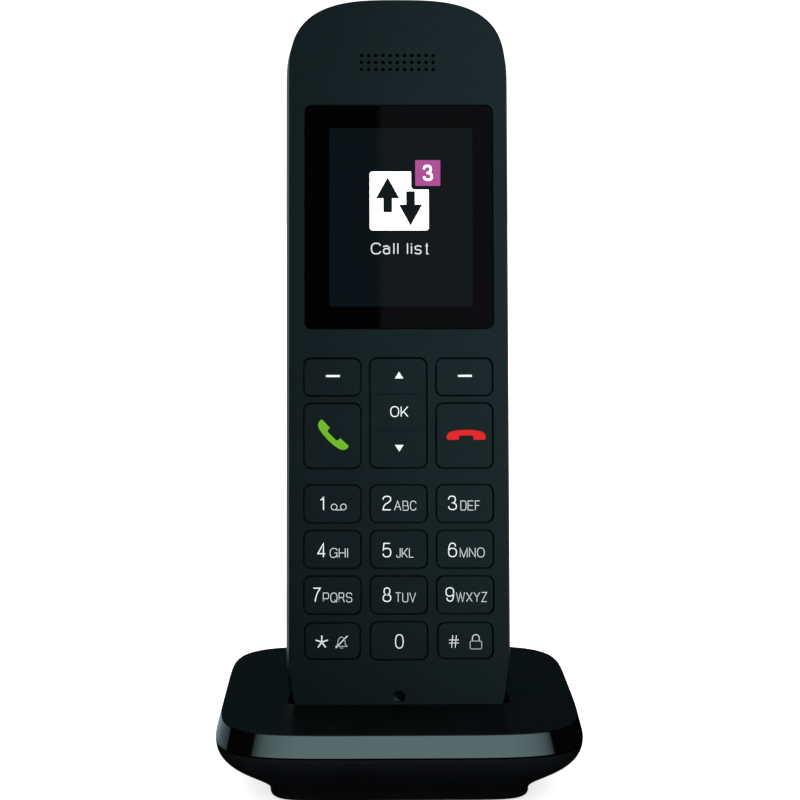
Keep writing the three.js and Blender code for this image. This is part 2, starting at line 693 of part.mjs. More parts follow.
// Slanting open-topped tub under the top face, with two holes for the pins in its floor.
function chargingWell() {
  const underDeck = solid(slab(rectangle(100, 100), 0, DECK_Z - DECK_WALL));
  const tub = solid(wellBlock(WELL.wall, WELL.floor - WELL.wall, DECK_Z)).intersect(underDeck);
  let body = tub.subtract(solid(wellBlock(0, WELL.floor, DECK_Z)));
  for (const side of [-1, 1]) {
    const hole = post(BARREL.radius + GAP, WELL.floor - 3, WELL.floor + 1, side * CHARGE_X, CHARGE_DEPTH);
    body = body.subtract(solid(hole.applyMatrix4(HANDSET_PLACE)));
  }
  return part('charging_well', body, caseBlack);
}

// Rings of the bowl from its rim down to the foot, between two heights and pulled in by a wall.
function bowlRings(top, bottom, wall) {
  const rings = [];
  for (let i = 0; i <= BOWL_RINGS; i++) {
    const down = i / BOWL_RINGS;
    const out = (1 - down ** BOWL_FULLNESS) ** BOWL_SWEEP;
    const halfX = FOOT.x + (RIM_HALF - FOOT.x) * out;
    const halfY = FOOT.y + (RIM_HALF - FOOT.y) * out;
    const power = CRADLE_POWER + (FOOT_POWER - CRADLE_POWER) * (1 - out);
    rings.push(cradleRing(top - (top - bottom) * down, halfX - wall, halfY - wall, power));
  }
  return rings;
}

function footRing(z, inset) {
  return cradleRing(z, FOOT.x - inset, FOOT.y - inset, FOOT_POWER);
}

function cradleBottom() {
  const foot = [footRing(FOOT_CLEAR + FOOT_EDGE, 0), footRing(FOOT_CLEAR, FOOT_EDGE)];
  const rim = RIM_Z - GAP;
  const outer = loft([...bowlRings(rim, FOOT_TOP, 0), ...foot]);
  const mouth = squareRing(rim + 2 * BOWL_LIFT, RIM_HALF - SHELL_WALL);
  const bowl = bowlRings(rim + BOWL_LIFT, PLATE.high + GAP, SHELL_WALL);
  const inner = loft([mouth, ...bowl, footRing(PLATE.high, SHELL_WALL)]);
  const matPocket = loft([footRing(FOOT_CLEAR - 1, SHELL_WALL), footRing(PLATE.low, SHELL_WALL)]);
  const portShape = rectangle(2 * PORT.half, PORT.back - PORT.front, 0, (PORT.front + PORT.back) / 2);
  const cuts = [inner, matPocket, slab(portShape, PORT.bottom, PORT.top)];
  for (const [x, y] of screwPlaces()) {
    cuts.push(post(CRADLE_SCREW.head + GAP, PLATE.low - 1, CRADLE_SCREW_HEAD.recess, x, y, 12));
    cuts.push(post(CRADLE_SCREW.hole, PLATE.low, PLATE.high + 1, x, y, 12));
  }
  const body = cuts.reduce((shell, cut) => shell.subtract(solid(cut)), solid(outer));
  return part('cradle_bottom_shell', body, caseBlack);
}

function antislipMat() {
  const inset = SHELL_WALL + GAP;
  return part('antislip_mat', loft([footRing(0, inset), footRing(MAT_THICK, inset)]), rubberBlack);
}

function cradleScrew(name, x, y) {
  const { shank, head } = CRADLE_SCREW;
  const { bottom, top } = CRADLE_SCREW_HEAD;
  const cap = post(head, bottom, top, 0, 0, 12);
  const stem = post(shank, (bottom + top) / 2, SCREW_TOP, 0, 0, 10);
  const mesh = part(name, joined(cap, stem), bareSteel);
  mesh.position.set(x, y, 0);
  return mesh;
}

function ballast(name, side) {
  const { near, far, half, bottom, top } = BALLAST;
  const shape = rectangle(far - near, 2 * half, side * (near + far) / 2, 0);
  return part(name, slab(shape, bottom, top), bareSteel);
}

function chargeBoard() {
  const { half, low, high, neck, neckHigh, bottom, top } = CRADLE_BOARD;
  const shape = new THREE.Shape();
  shape.moveTo(-half, low);
  shape.lineTo(half, low);
  shape.lineTo(half, high);
  shape.lineTo(neck, high);
  shape.lineTo(neck, neckHigh);
  shape.lineTo(-neck, neckHigh);
  shape.lineTo(-neck, high);
  shape.lineTo(-half, high);
  return part('charge_board', slab(shape, bottom, top), boardGreen);
}

// Power socket: a block with a round bore open to the back and a centre pin.
function dcInlet() {
  const { half, front, back, bottom, top, bore, pin, deep } = INLET;
  const middle = (bottom + top) / 2;
  const block = solid(slab(rectangle(2 * half, back - front, 0, (front + back) / 2), bottom, top));
  const hole = solid(depthPost(bore, back - deep, back + 1, 0, middle));
  const centre = solid(depthPost(pin, back - deep - 0.5, back - 1, 0, middle, 8));
  return part('dc_inlet', block.subtract(hole).add(centre), innerPlastic);
}

// Spring pin that touches the handset's pad; it slides in a barrel on the cradle's board.
function chargePin(name, side) {
  const { radius, low, shoulder, nose, noseLow, tip } = PIN;
  const profile = [[0, low], [radius, low], [radius, shoulder], [nose, noseLow], [0, tip]];
  const mesh = part(name, turned(profile, 12), goldPlate);
  mesh.position.set(side * CHARGE_X, CHARGE_DEPTH, 0);
  return mesh;
}

function pinBarrel(name, side) {
  const { radius, bore, low, floor, high } = BARREL;
  const profile = [[0, low], [radius, low], [radius, high], [bore, high], [bore, floor], [0, floor]];
  const mesh = part(name, turned(profile, 12), bareSteel);
  mesh.position.set(side * CHARGE_X, CHARGE_DEPTH, 0);
  return mesh;
}

// ---- Assembly ------------------------------------------------------------------------------

function leaningGroup(...pieces) {
  const group = new THREE.Group();
  group.position.set(0, FACE_Y, DECK_Z);
  group.rotation.x = -LEAN;
  group.add(...pieces);
  return group;
}

function handset() {
  return leaningGroup(
    frontHousing(), rearHousing(), batteryDoor(),
    displayWindow(), displayModule(), earpiece(), microphone(), ringer(),
    ...KEYS.map(keyCap), navPivot(), keypadMat(), mainBoard(), shieldCan(),
    batteryTray(), ...batteryCells(), ...batteryContacts(),
    chargePad('charge_contact_left', -1), chargePad('charge_contact_right', 1),
    caseScrew('case_screw_left', -1), caseScrew('case_screw_right', 1),
  );
}

function cradle() {
  const group = new THREE.Group();
  group.add(cradleTop(), chargingWell(), glossBand(), cradleBottom());
  group.add(antislipMat(), chargeBoard(), dcInlet());
  group.add(ballast('ballast_left', -1), ballast('ballast_right', 1));
  screwPlaces().forEach(([x, y], i) => group.add(cradleScrew(`cradle_screw_${i + 1}`, x, y)));
  group.add(leaningGroup(
    chargePin('charge_pin_left', -1), chargePin('charge_pin_right', 1),
    pinBarrel('pin_barrel_left', -1), pinBarrel('pin_barrel_right', 1),
  ));
  return group;
}

const phone = new THREE.Group();
phone.add(handset(), cradle());

export default phone;
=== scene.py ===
"""Looks of a cordless telephone that leans back in its charging cradle.

Lengths in the shape code are millimetres. Handset shapes are drawn in the handset's own leaning frame:
x across the case, y the depth behind its front face, z the height above the cradle's top along the case.
"""

import math

import bmesh
import bpy
from mathutils import Matrix, Vector
from mathutils.geometry import tessellate_polygon
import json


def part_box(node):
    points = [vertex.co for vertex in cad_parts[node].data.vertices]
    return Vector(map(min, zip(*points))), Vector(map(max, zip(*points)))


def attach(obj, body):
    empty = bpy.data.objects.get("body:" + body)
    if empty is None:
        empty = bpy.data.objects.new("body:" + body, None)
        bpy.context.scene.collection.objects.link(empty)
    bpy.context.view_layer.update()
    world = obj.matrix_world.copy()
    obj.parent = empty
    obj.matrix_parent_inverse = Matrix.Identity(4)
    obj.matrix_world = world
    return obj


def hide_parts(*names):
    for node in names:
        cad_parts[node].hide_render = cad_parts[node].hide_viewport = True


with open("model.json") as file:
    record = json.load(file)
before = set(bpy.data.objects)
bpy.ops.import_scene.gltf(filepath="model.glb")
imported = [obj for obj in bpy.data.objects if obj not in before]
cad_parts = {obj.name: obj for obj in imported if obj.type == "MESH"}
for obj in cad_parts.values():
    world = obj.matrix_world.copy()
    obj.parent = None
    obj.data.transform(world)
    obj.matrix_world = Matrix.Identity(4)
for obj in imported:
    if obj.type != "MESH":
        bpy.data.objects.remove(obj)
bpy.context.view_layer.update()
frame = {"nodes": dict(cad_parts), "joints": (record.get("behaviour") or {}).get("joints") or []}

MM = 0.001
QUARTER = math.pi / 2


# ---- The handset's leaning frame, from the CAD ------------------------------------------

JOINTS = {joint["name"]: joint for joint in frame["joints"]}
UP = Vector(JOINTS["handset_lift"]["axis"])
LEAN = math.atan2(UP.y, UP.z)
TURN = Matrix.Rotation(-LEAN, 4, "X")
DECK_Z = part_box("cradle_top_shell")[1].z / MM


def leaning_points(node):
    """A CAD node's points in millimetres, turned upright but not moved."""
    back = TURN.inverted()
    return [back @ (vertex.co / MM) for vertex in frame["nodes"][node].data.vertices]


FACE_DEPTH = min(point.y for point in leaning_points("front_housing"))
FACE_RISE = (DECK_Z + FACE_DEPTH * math.sin(LEAN)) / math.cos(LEAN)
HANDSET = TURN @ Matrix.Translation((0, FACE_DEPTH, FACE_RISE))
UPRIGHT = Matrix.Identity(4)


def span(node):
    """Lowest and highest corner of a CAD node in the handset's frame, in millimetres."""
    shift = Vector((0, FACE_DEPTH, FACE_RISE))
    points = [point - shift for point in leaning_points(node)]
    low = Vector([min(point[axis] for point in points) for axis in range(3)])
    high = Vector([max(point[axis] for point in points) for axis in range(3)])
    return low, high


# ---- Driving dimensions -----------------------------------------------------------------

REAR_LOW, REAR_HIGH = span("rear_housing")
CASE_HALF = span("front_housing")[1].x
CASE_TOP = REAR_HIGH.z
CASE_BOTTOM = REAR_LOW.z
CASE_DEPTH = REAR_HIGH.y
TOP_CURVE = 18
TOP_POWER = 3.0
FOOT_CURVE_WIDE = 6.4
FOOT_CURVE_TALL = 16
FACE_INSET = 0.85
FACE_END_INSET = 0.05
FACE_WALL = 2.2
SIDE_WALL = 1.8
REAR_WALL = 1.5
REAR_SIDE_CURVE = 8
REAR_END_CURVE = 4
SEAM_DEPTH = 8.1
SEAM_SLIT = 0.12
# Edges that turn more than this stay sharp round the flat faces, in degrees.
FLAT_FACE_ANGLE = 11

KEY_FLANGE = 0.6
KEY_FLANGE_THICK = 0.7
KEY_SLIT = 0.28
KEY_CORNER = 1.45
NAV_GROOVES = (59.6, 67.6)
WINDOW_CORNER = 1.5
WINDOW_SLIT = 0.1
WINDOW_SEAT = 1.2
WINDOW_LEDGE = 2.3
GRILLE_Z = 141.2
GRILLE_PITCH_X, GRILLE_PITCH_Z = 1.59, 1.575
GRILLE_RADIUS = 0.37
MIC_Z, MIC_RADIUS = 1.5, 1.2

DOOR_LOW, DOOR_CORNER = 8.5, 3
DOOR_SLIT = 0.14
LUG_X, LUG_WIDE = 8, 5
LUG_LOW, LUG_HIGH, LUG_NEAR, LUG_FAR = 6.5, 10.5, 18.4, 20.2
RINGER_Z, RINGER_PITCH = 108, 2.4
RINGER_WIDE, RINGER_TALL = 11, 1.1
THUMB_RADIUS, THUMB_DEEP = 6, 0.9
CHARGE_X, CHARGE_DEPTH = 12, 11
PIN_HOLE_RADIUS = 2.3

CRADLE_POWER = 5.4
RIM_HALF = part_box("cradle_bottom_shell")[1].x / MM
RIM_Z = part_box("gloss_band")[0].z / MM
DECK_HALF = 38.4
DECK_LIP = 0.12
DECK_WALL = 1.6
BAND_THICK = 0.9
BAND_SLIT = 0.04
BOWL_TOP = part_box("cradle_bottom_shell")[1].z / MM
FOOT_X, FOOT_Y = 27.95, 28.6
FOOT_POWER = 9
FOOT_TOP = 0.7
FOOT_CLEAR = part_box("cradle_bottom_shell")[0].z / MM
MAT_CEILING, FLOOR_TOP = 1.1, 3.3
BOWL_FULLNESS = 2.3
BOWL_SWEEP = 2.4
BOWL_LIFT = 1.6
SHELL_WALL = 1.8
WELL_NEAR, WELL_FAR, WELL_HALF, WELL_CORNER = -0.3, 22.5, 24.15, 2.5
WELL_FLOOR = -6.5
WELL_WALL = 1.5

KEY_NODES = [f"key_{i}" for i in (1, 2, 3, 4, 5, 6, 7, 8, 9, "star", 0, "hash")]
KEY_NODES += ["softkey_left", "softkey_right", "call_key", "end_key", "nav_key"]


def soft_edge(steps):
    """A rounded edge, as pairs from 0 to 1: how far it is still pulled in and how deep it has gone."""
    turns = [i / steps * QUARTER for i in range(steps + 1)]
    return [(1 - math.sin(angle), 1 - math.cos(angle)) for angle in turns]


# ---- Outlines: lists of (u, v) points, anticlockwise ------------------------------------

def rounded_rectangle(wide, tall, radius, x=0.0, y=0.0, steps=7):
    radius = max(radius, 0.02)
    reach_x, reach_y = wide / 2 - radius, tall / 2 - radius
    points = []
    for turn, (sx, sy) in enumerate(((1, -1), (1, 1), (-1, 1), (-1, -1))):
        for i in range(steps + 1):
            angle = (turn - 1 + i / steps) * QUARTER
            points.append((x + sx * reach_x + radius * math.cos(angle),
                           y + sy * reach_y + radius * math.sin(angle)))
    return points


def circle(radius, x=0.0, y=0.0, steps=20):
    angles = [i / steps * 4 * QUARTER for i in range(steps)]
    return [(x + radius * math.cos(angle), y + radius * math.sin(angle)) for angle in angles]


def superellipse(half_x, half_y, power, steps=44):
    """Quarter by quarter, with the points close together where the outline turns."""
    points = []
    for i in range(4 * steps):
        angle = i / steps * QUARTER
        c, s = math.cos(angle), math.sin(angle)
        points.append((math.copysign(half_x * abs(c) ** (2 / power), c),
                       math.copysign(half_y * abs(s) ** (2 / power), s)))
    return points


def case_outline(side, end, steps=34):
    """The handset's outline pulled in at the sides and at the ends."""
    half = CASE_HALF - side
    corner_wide = max(FOOT_CURVE_WIDE - side, 2)
    corner_tall = FOOT_CURVE_TALL - end
    top_tall = TOP_CURVE - end
    bottom, top = CASE_BOTTOM + end, CASE_TOP - end
    right = []
    for i in range(13):
        angle = (i / 12 - 1) * QUARTER
        right.append((half - corner_wide + corner_wide * math.cos(angle),
                      bottom + corner_tall * (1 + math.sin(angle))))
    for i in range(1, 12):
        low, high = bottom + corner_tall, top - top_tall
        right.append((half, low + (high - low) * i / 12))
    for i in range(steps):
        angle = i / steps * QUARTER
        right.append((half * math.cos(angle) ** (2 / TOP_POWER),
                      top - top_tall + top_tall * math.sin(angle) ** (2 / TOP_POWER)))
    left = [(-x, z) for x, z in reversed(right)]
    return right + [(0, top)] + left


# ---- Mesh building ----------------------------------------------------------------------

class Skin:
    """Points in millimetres and faces, each face with its material slot."""

    def __init__(self, place=UPRIGHT):
        self.place = place
        self.points = []
        self.faces = []
        self.slots = []

    def ring(self, points):
        first = len(self.points)
        self.points.extend(tuple(point) for point in points)
        return list(range(first, len(self.points)))

    def deep_ring(self, outline, depth):
        return self.ring((x, depth, z) for x, z in outline)

    def level_ring(self, outline, height):
        return self.ring((x, y, height) for x, y in outline)

    def face(self, corners, slot=0):
        self.faces.append(tuple(corners))
        self.slots.append(slot)

    def bridge(self, *rings, slot=0):
        for lower, upper in zip(rings, rings[1:]):
            count = len(lower)
            for i in range(count):
                j = (i + 1) % count
                self.face((lower[i], lower[j], upper[j], upper[i]), slot)

    def fill(self, outer, holes=(), axes=(0, 2), slot=0):
        """Triangles across a ring, round the holes in it."""
        loops = [outer, *holes]
        u, v = axes
        flat = [[Vector((self.points[i][u], self.points[i][v], 0)) for i in loop] for loop in loops]
        order = [i for loop in loops for i in loop]
        for corners in tessellate_polygon(flat):
            self.face([order[k] for k in corners], slot)

    def prism(self, outer, near, far, holes=(), slot=0):
        """A flat shape between two depths."""
        front = [self.deep_ring(loop, near) for loop in (outer, *holes)]
        back = [self.deep_ring(loop, far) for loop in (outer, *holes)]
        self.fill(front[0], front[1:], slot=slot)
        self.fill(back[0], back[1:], slot=slot)
        for near_ring, far_ring in zip(front, back):
            self.bridge(near_ring, far_ring, slot=slot)

    def object(self, name, *materials, angle=32):
        mesh = bpy.data.meshes.new(name)
        points = [self.place @ Vector(point) * MM for point in self.points]
        mesh.from_pydata(points, [], self.faces)
        mesh.polygons.foreach_set("material_index", self.slots)
        for material in materials:
            mesh.materials.append(material)
        return finished(name, mesh, angle)


def finished(name, mesh, angle=32):
    """An object with its faces pointing out, smooth apart from its sharp edges."""
    work = bmesh.new()
    work.from_mesh(mesh)
    bmesh.ops.remove_doubles(work, verts=work.verts, dist=1e-7)
    bmesh.ops.dissolve_degenerate(work, edges=work.edges, dist=1e-8)
    bmesh.ops.recalc_face_normals(work, faces=work.faces)
    work.to_mesh(mesh)
    work.free()
    mesh.shade_smooth()
    mesh.set_sharp_from_angle(angle=math.radians(angle))
    piece = bpy.data.objects.new(name, mesh)
    bpy.context.scene.collection.objects.link(piece)
    weighted = piece.modifiers.new("weighted_normal", "WEIGHTED_NORMAL")
    weighted.keep_sharp = True
    return piece


def stand_for(piece, body, slot, *nodes):
    """The piece rides on a CAD body and is shown in place of the CAD nodes."""
    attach(piece, body)
    if nodes:
        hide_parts(*nodes)
    return piece


def boolean(piece, other, operation):
    """Cuts, trims or joins the piece with another object, which is then deleted."""
    modifier = piece.modifiers.new("cut", "BOOLEAN")
    modifier.operation = operation
    modifier.object = other
    modifier.solver = "EXACT"
    bpy.context.view_layer.update()
    graph = bpy.context.evaluated_depsgraph_get()
    piece.modifiers.remove(piece.modifiers["weighted_normal"])
    mesh = bpy.data.meshes.new_from_object(piece.evaluated_get(graph), depsgraph=graph)
    name = piece.name
    for old in (piece, other):
        data = old.data
        bpy.data.objects.remove(old)
        bpy.data.meshes.remove(data)
    mesh.name = name
    return finished(name, mesh)


# ---- Materials --------------------------------------------------------------------------

def new_material(name):
    material = bpy.data.materials.new(name)
    material.use_nodes = True
    return material, material.node_tree.nodes["Principled BSDF"], material.node_tree


def noise(tree, scale, detail=2.0, stretch=(1, 1, 1)):
    """Noise in object space; scale is in turns per metre."""
    place = tree.nodes.new("ShaderNodeTexCoord")
    mapping = tree.nodes.new("ShaderNodeMapping")
    mapping.inputs["Scale"].default_value = stretch
    texture = tree.nodes.new("ShaderNodeTexNoise")
    texture.inputs["Scale"].default_value = scale
    texture.inputs["Detail"].default_value = detail
    tree.links.new(place.outputs["Object"], mapping.inputs["Vector"])
    tree.links.new(mapping.outputs["Vector"], texture.inputs["Vector"])
    return texture.outputs["Fac"]


def spread(tree, value, low, high):
    """Maps a 0.3 to 0.7 noise value on to a range."""
    remap = tree.nodes.new("ShaderNodeMapRange")
    remap.inputs["From Min"].default_value = 0.3
    remap.inputs["From Max"].default_value = 0.7
    remap.inputs["To Min"].default_value = low
    remap.inputs["To Max"].default_value = high
    tree.links.new(value, remap.inputs["Value"])
    return remap.outputs["Result"]


def two_tone(tree, value, first, second):
    ramp = tree.nodes.new("ShaderNodeValToRGB")
    ramp.color_ramp.elements[0].position = 0.3
    ramp.color_ramp.elements[1].position = 0.7
    ramp.color_ramp.elements[0].color = (*first, 1)
    ramp.color_ramp.elements[1].color = (*second, 1)
    tree.links.new(value, ramp.inputs["Fac"])
    return ramp.outputs["Color"]


def bump(tree, value, distance, strength=1.0):
    node = tree.nodes.new("ShaderNodeBump")
    node.inputs["Distance"].default_value = distance
    node.inputs["Strength"].default_value = strength
    tree.links.new(value, node.inputs["Height"])
    return node.outputs["Normal"]


def plastic(name, colour, roughness, grain=0.004, grain_scale=5200, specular=0.5, vary=0.12):
    """Moulded plastic: faint colour drift, uneven sheen and a fine eroded grain."""
    material, shader, tree = new_material(name)
    drift = noise(tree, 60, 3)
    darker = [c * (1 - vary) for c in colour]
    lighter = [c * (1 + vary) for c in colour]
    tree.links.new(two_tone(tree, drift, darker, lighter), shader.inputs["Base Color"])
    sheen = noise(tree, 900, 3)
    tree.links.new(spread(tree, sheen, roughness - 0.03, roughness + 0.03), shader.inputs["Roughness"])
    shader.inputs["Specular IOR Level"].default_value = specular
    tree.links.new(bump(tree, noise(tree, grain_scale, 2), grain * MM), shader.inputs["Normal"])
    return material


def gloss(name, colour, roughness=0.04, glow=None):
    """Polished plastic with faint moulding waves."""
    material, shader, tree = new_material(name)
    shader.inputs["Base Color"].default_value = (*colour, 1)
    if glow:
        shader.inputs["Emission Color"].default_value = (*[c / max(glow) for c in glow], 1)
        shader.inputs["Emission Strength"].default_value = max(glow)
    smear = noise(tree, 400, 4)
    tree.links.new(spread(tree, smear, roughness, roughness + 0.02), shader.inputs["Roughness"])
    tree.links.new(bump(tree, noise(tree, 70, 1), 0.002 * MM, 0.5), shader.inputs["Normal"])
    return material


def print_ink(name, colour, glow=0.0, roughness=0.4):
    """Printed or lit ink: slightly uneven in cover."""
    material, shader, tree = new_material(name)
    cover = noise(tree, 2600, 2)
    thin = [c * 0.93 for c in colour]
    tree.links.new(two_tone(tree, cover, thin, colour), shader.inputs["Base Color"])
    shader.inputs["Roughness"].default_value = roughness
    shader.inputs["Specular IOR Level"].default_value = 0.2
    shader.inputs["Emission Color"].default_value = (*colour, 1)
    shader.inputs["Emission Strength"].default_value = glow
    return material


def metal(name, colour, roughness, stretch=(1, 1, 1)):
    """Plated metal with fine drawn lines."""
    material, shader, tree = new_material(name)
    shader.inputs["Base Color"].default_value = (*colour, 1)
    shader.inputs["Metallic"].default_value = 1.0
    lines = noise(tree, 1800, 3, stretch)
    tree.links.new(spread(tree, lines, roughness, roughness + 0.15), shader.inputs["Roughness"])
    tree.links.new(bump(tree, lines, 0.003 * MM), shader.inputs["Normal"])
    return material


CASE = plastic("case_plastic", (0.0006, 0.0022, 0.0042), 0.30, grain=0.0025)
KEY = plastic("key_plastic", (0.0006, 0.0022, 0.0042), 0.30, grain=0.0025)
DECK = plastic("deck_plastic", (0.0003, 0.0004, 0.0007), 0.40, grain=0.0015)
SKIRT = plastic("skirt_plastic", (0.0018, 0.0022, 0.0029), 0.5, specular=0.35)
BAND = gloss("band_gloss", (0.0008, 0.0009, 0.0011))
GLASS = gloss("window_gloss", (0.0005, 0.0005, 0.0008), 0.02)
SCREEN = gloss("screen_glow", (0.0005, 0.0005, 0.0008), 0.02, glow=(0.0031, 0.0060, 0.0072))
WHITE_INK = print_ink("ink_white", (0.74, 0.80, 0.80))
SOFT_INK = print_ink("ink_soft_white", (0.52, 0.57, 0.57))
GREY_INK = print_ink("ink_grey", (0.36, 0.40, 0.40))
GREEN_INK = print_ink("ink_green", (0.11, 0.36, 0.004))
RED_INK = print_ink("ink_red", (0.58, 0.001, 0.003))
LIT_WHITE = print_ink("lit_white", (0.9, 0.92, 0.92), 0.9, 0.05)
LIT_GREY = print_ink("lit_grey", (0.45, 0.48, 0.48), 0.45, 0.05)
LIT_BADGE = print_ink("lit_badge", (0.192, 0.038, 0.142), 0.8, 0.05)
INNER = plastic("inner_plastic", (0.03, 0.033, 0.036), 0.55)
SILICONE = plastic("silicone", (0.26, 0.29, 0.31), 0.7)
BOARD = plastic("board_mask", (0.012, 0.10, 0.04), 0.35, grain=0.002)
STEEL = metal("nickel_steel", (0.50, 0.51, 0.52), 0.25, (1, 1, 8))
GOLD = metal("gold_plate", (0.75, 0.52, 0.18), 0.2)
WRAP = gloss("cell_wrap", (0.03, 0.16, 0.45), 0.15)
RUBBER = plastic("mat_rubber", (0.007, 0.007, 0.007), 0.8, grain=0.02, grain_scale=2600, specular=0.3)


# ---- Handset case -----------------------------------------------------------------------

def cap_size(node):
    """Centre and size of a key cap, from its CAD node without the hidden flange."""
    low, high = span(node)
    centre = (low + high) / 2
    return centre.x, centre.z, high.x - low.x - 2 * KEY_FLANGE, high.z - low.z - 2 * KEY_FLANGE


def cap_outline(node, grow):
    x, z, wide, tall = cap_size(node)
    return rounded_rectangle(wide + 2 * grow, tall + 2 * grow, KEY_CORNER + grow, x, z)


def window_outline(grow):
    """The display window's outline, or one that runs beside it."""
    low, high = span("display_window")
    wide, tall = high.x - low.x, high.z - low.z
    middle_x, middle_z = (high.x + low.x) / 2, (high.z + low.z) / 2
    return rounded_rectangle(wide + 2 * grow, tall + 2 * grow, WINDOW_CORNER + grow, middle_x, middle_z, 9)


def mouth_rings(outline, slit, edge, deep):
    """An opening with a rounded mouth: outline is a function of how far it is grown."""
    rings = [(outline(slit + edge * wider), edge * down) for wider, down in soft_edge(3)]
    return rings + [(outline(slit), deep)]


def grille_centres():
    return [(column * GRILLE_PITCH_X, GRILLE_Z + row * GRILLE_PITCH_Z)
            for row in (-1, 0, 1) for column in range(-5, 6)]


def key_hole(node):
    return mouth_rings(lambda grow: cap_outline(node, grow), KEY_SLIT, 0.08, FACE_WALL)


def round_hole(radius, x, z, steps, edge):
    return mouth_rings(lambda grow: circle(radius + grow, x, z, steps), 0, edge, FACE_WALL)


def case_holes():
    """Every opening through the front face, as lists of (outline, depth)."""
    holes = [key_hole(node) for node in KEY_NODES]
    window = mouth_rings(window_outline, WINDOW_SLIT, 0.1, WINDOW_SEAT)
    window += [(window_outline(-WINDOW_LEDGE), depth) for depth in (WINDOW_SEAT, FACE_WALL)]
    holes.append(window)
    holes += [round_hole(GRILLE_RADIUS, x, z, 16, 0.05) for x, z in grille_centres()]
    holes.append(round_hole(MIC_RADIUS, 0, MIC_Z, 32, 0.2))
    return holes


def front_profile():
    """The front housing's side wall as (pulled in at the sides, at the ends, depth), round to its inside."""
    edge, lip = 0.2, 0.08
    profile = [(FACE_INSET + edge * pulled, FACE_END_INSET + edge * pulled, edge * down)
               for pulled, down in soft_edge(4)]
    for i in range(1, 5):
        left = 1 - i / 5
        depth = edge + (SEAM_DEPTH - edge) * i / 5
        profile.append((FACE_INSET * left, FACE_END_INSET * left, depth))
    profile += [(0, 0, SEAM_DEPTH - lip), (lip, lip, SEAM_DEPTH)]
    return profile + [(SIDE_WALL, SIDE_WALL, SEAM_DEPTH), (FACE_INSET + SIDE_WALL, SIDE_WALL, FACE_WALL)]


def front_case():
    skin = Skin(HANDSET)
    fronts, backs = [], []
    for hole in case_holes():
        rings = [skin.deep_ring(outline, depth) for outline, depth in hole]
        skin.bridge(*rings)
        fronts.append(rings[0])
        backs.append(rings[-1])
    rings = [skin.deep_ring(case_outline(side, end), depth) for side, end, depth in front_profile()]
    skin.bridge(*rings)
    skin.fill(rings[0], fronts)
    skin.fill(rings[-1], backs)
    piece = skin.object("front_case", CASE, angle=FLAT_FACE_ANGLE)
    return stand_for(piece, "handset", "case_plastic", "front_housing")


def rear_block(near, far, wall, steps=16):
    """The rounded back as one solid between two depths."""
    skin = Skin(HANDSET)
    rings = []
    for i in range(steps + 1):
        angle = i / steps * QUARTER
        inward = 1 - math.cos(angle)
        outline = case_outline(wall + REAR_SIDE_CURVE * inward, wall + REAR_END_CURVE * inward)
        rings.append(skin.deep_ring(outline, near + (far - near) * math.sin(angle)))
    skin.bridge(*rings)
    skin.fill(rings[0])
    skin.fill(rings[-1])
    return skin.object("rear_block", CASE)


def outline_block(outline, near, far):
    """A cutter with the given outline between two depths."""
    skin = Skin(HANDSET)
    skin.prism(outline, near, far)
    return skin.object("cutter", CASE)


def door_outline(grow):
    """The battery door without the lugs that reach below it."""
    top = span("battery_door")[1]
    tall, middle = top.z - DOOR_LOW, (top.z + DOOR_LOW) / 2
    return rounded_rectangle(2 * (top.x + grow), tall + 2 * grow, DOOR_CORNER + grow, 0, middle, 8)


def door_block(grow):
    return outline_block(door_outline(grow), SEAM_DEPTH + 2, CASE_DEPTH + 1)


def rear_shell(name):
    """The whole rounded back as a hollow shell, before the door is parted from it."""
    shell = rear_block(SEAM_DEPTH + SEAM_SLIT, CASE_DEPTH, 0)
    shell = boolean(shell, rear_block(SEAM_DEPTH - 1, CASE_DEPTH - REAR_WALL, SIDE_WALL), "DIFFERENCE")
    shell.name = name
    return shell


def ringer_slot(i):
    slot = rounded_rectangle(RINGER_WIDE, RINGER_TALL, 0.54, 0, RINGER_Z + (i - 2) * RINGER_PITCH, 6)
    return outline_block(slot, CASE_DEPTH - REAR_WALL - 1, CASE_DEPTH + 1)


def charge_window(side):
    """A cutter for the opening in the case's bottom that shows a charge pad."""
    skin = Skin(HANDSET)
    wide, deep, corner, ceiling = 4.4, 5.4, 0.4, -3.6
    outline = rounded_rectangle(wide, deep, corner, side * CHARGE_X, CHARGE_DEPTH, 4)
    low, high = skin.level_ring(outline, CASE_BOTTOM - 1), skin.level_ring(outline, ceiling)
    skin.bridge(low, high)
    skin.fill(low, axes=(0, 1))
    skin.fill(high, axes=(0, 1))
    return skin.object("cutter", CASE)


def thumb_notch():
    outline = circle(THUMB_RADIUS, 0, span("battery_door")[1].z, 48)
    return outline_block(outline, CASE_DEPTH - THUMB_DEEP, CASE_DEPTH + 1)


def rear_case():
    shell = boolean(rear_shell("rear_case"), door_block(DOOR_SLIT), "DIFFERENCE")
    for i in range(5):
        shell = boolean(shell, ringer_slot(i), "DIFFERENCE")
    for side in (-1, 1):
        shell = boolean(shell, charge_window(side), "DIFFERENCE")
    shell = boolean(shell, thumb_notch(), "DIFFERENCE")
    return stand_for(shell, "handset", "case_plastic", "rear_housing")


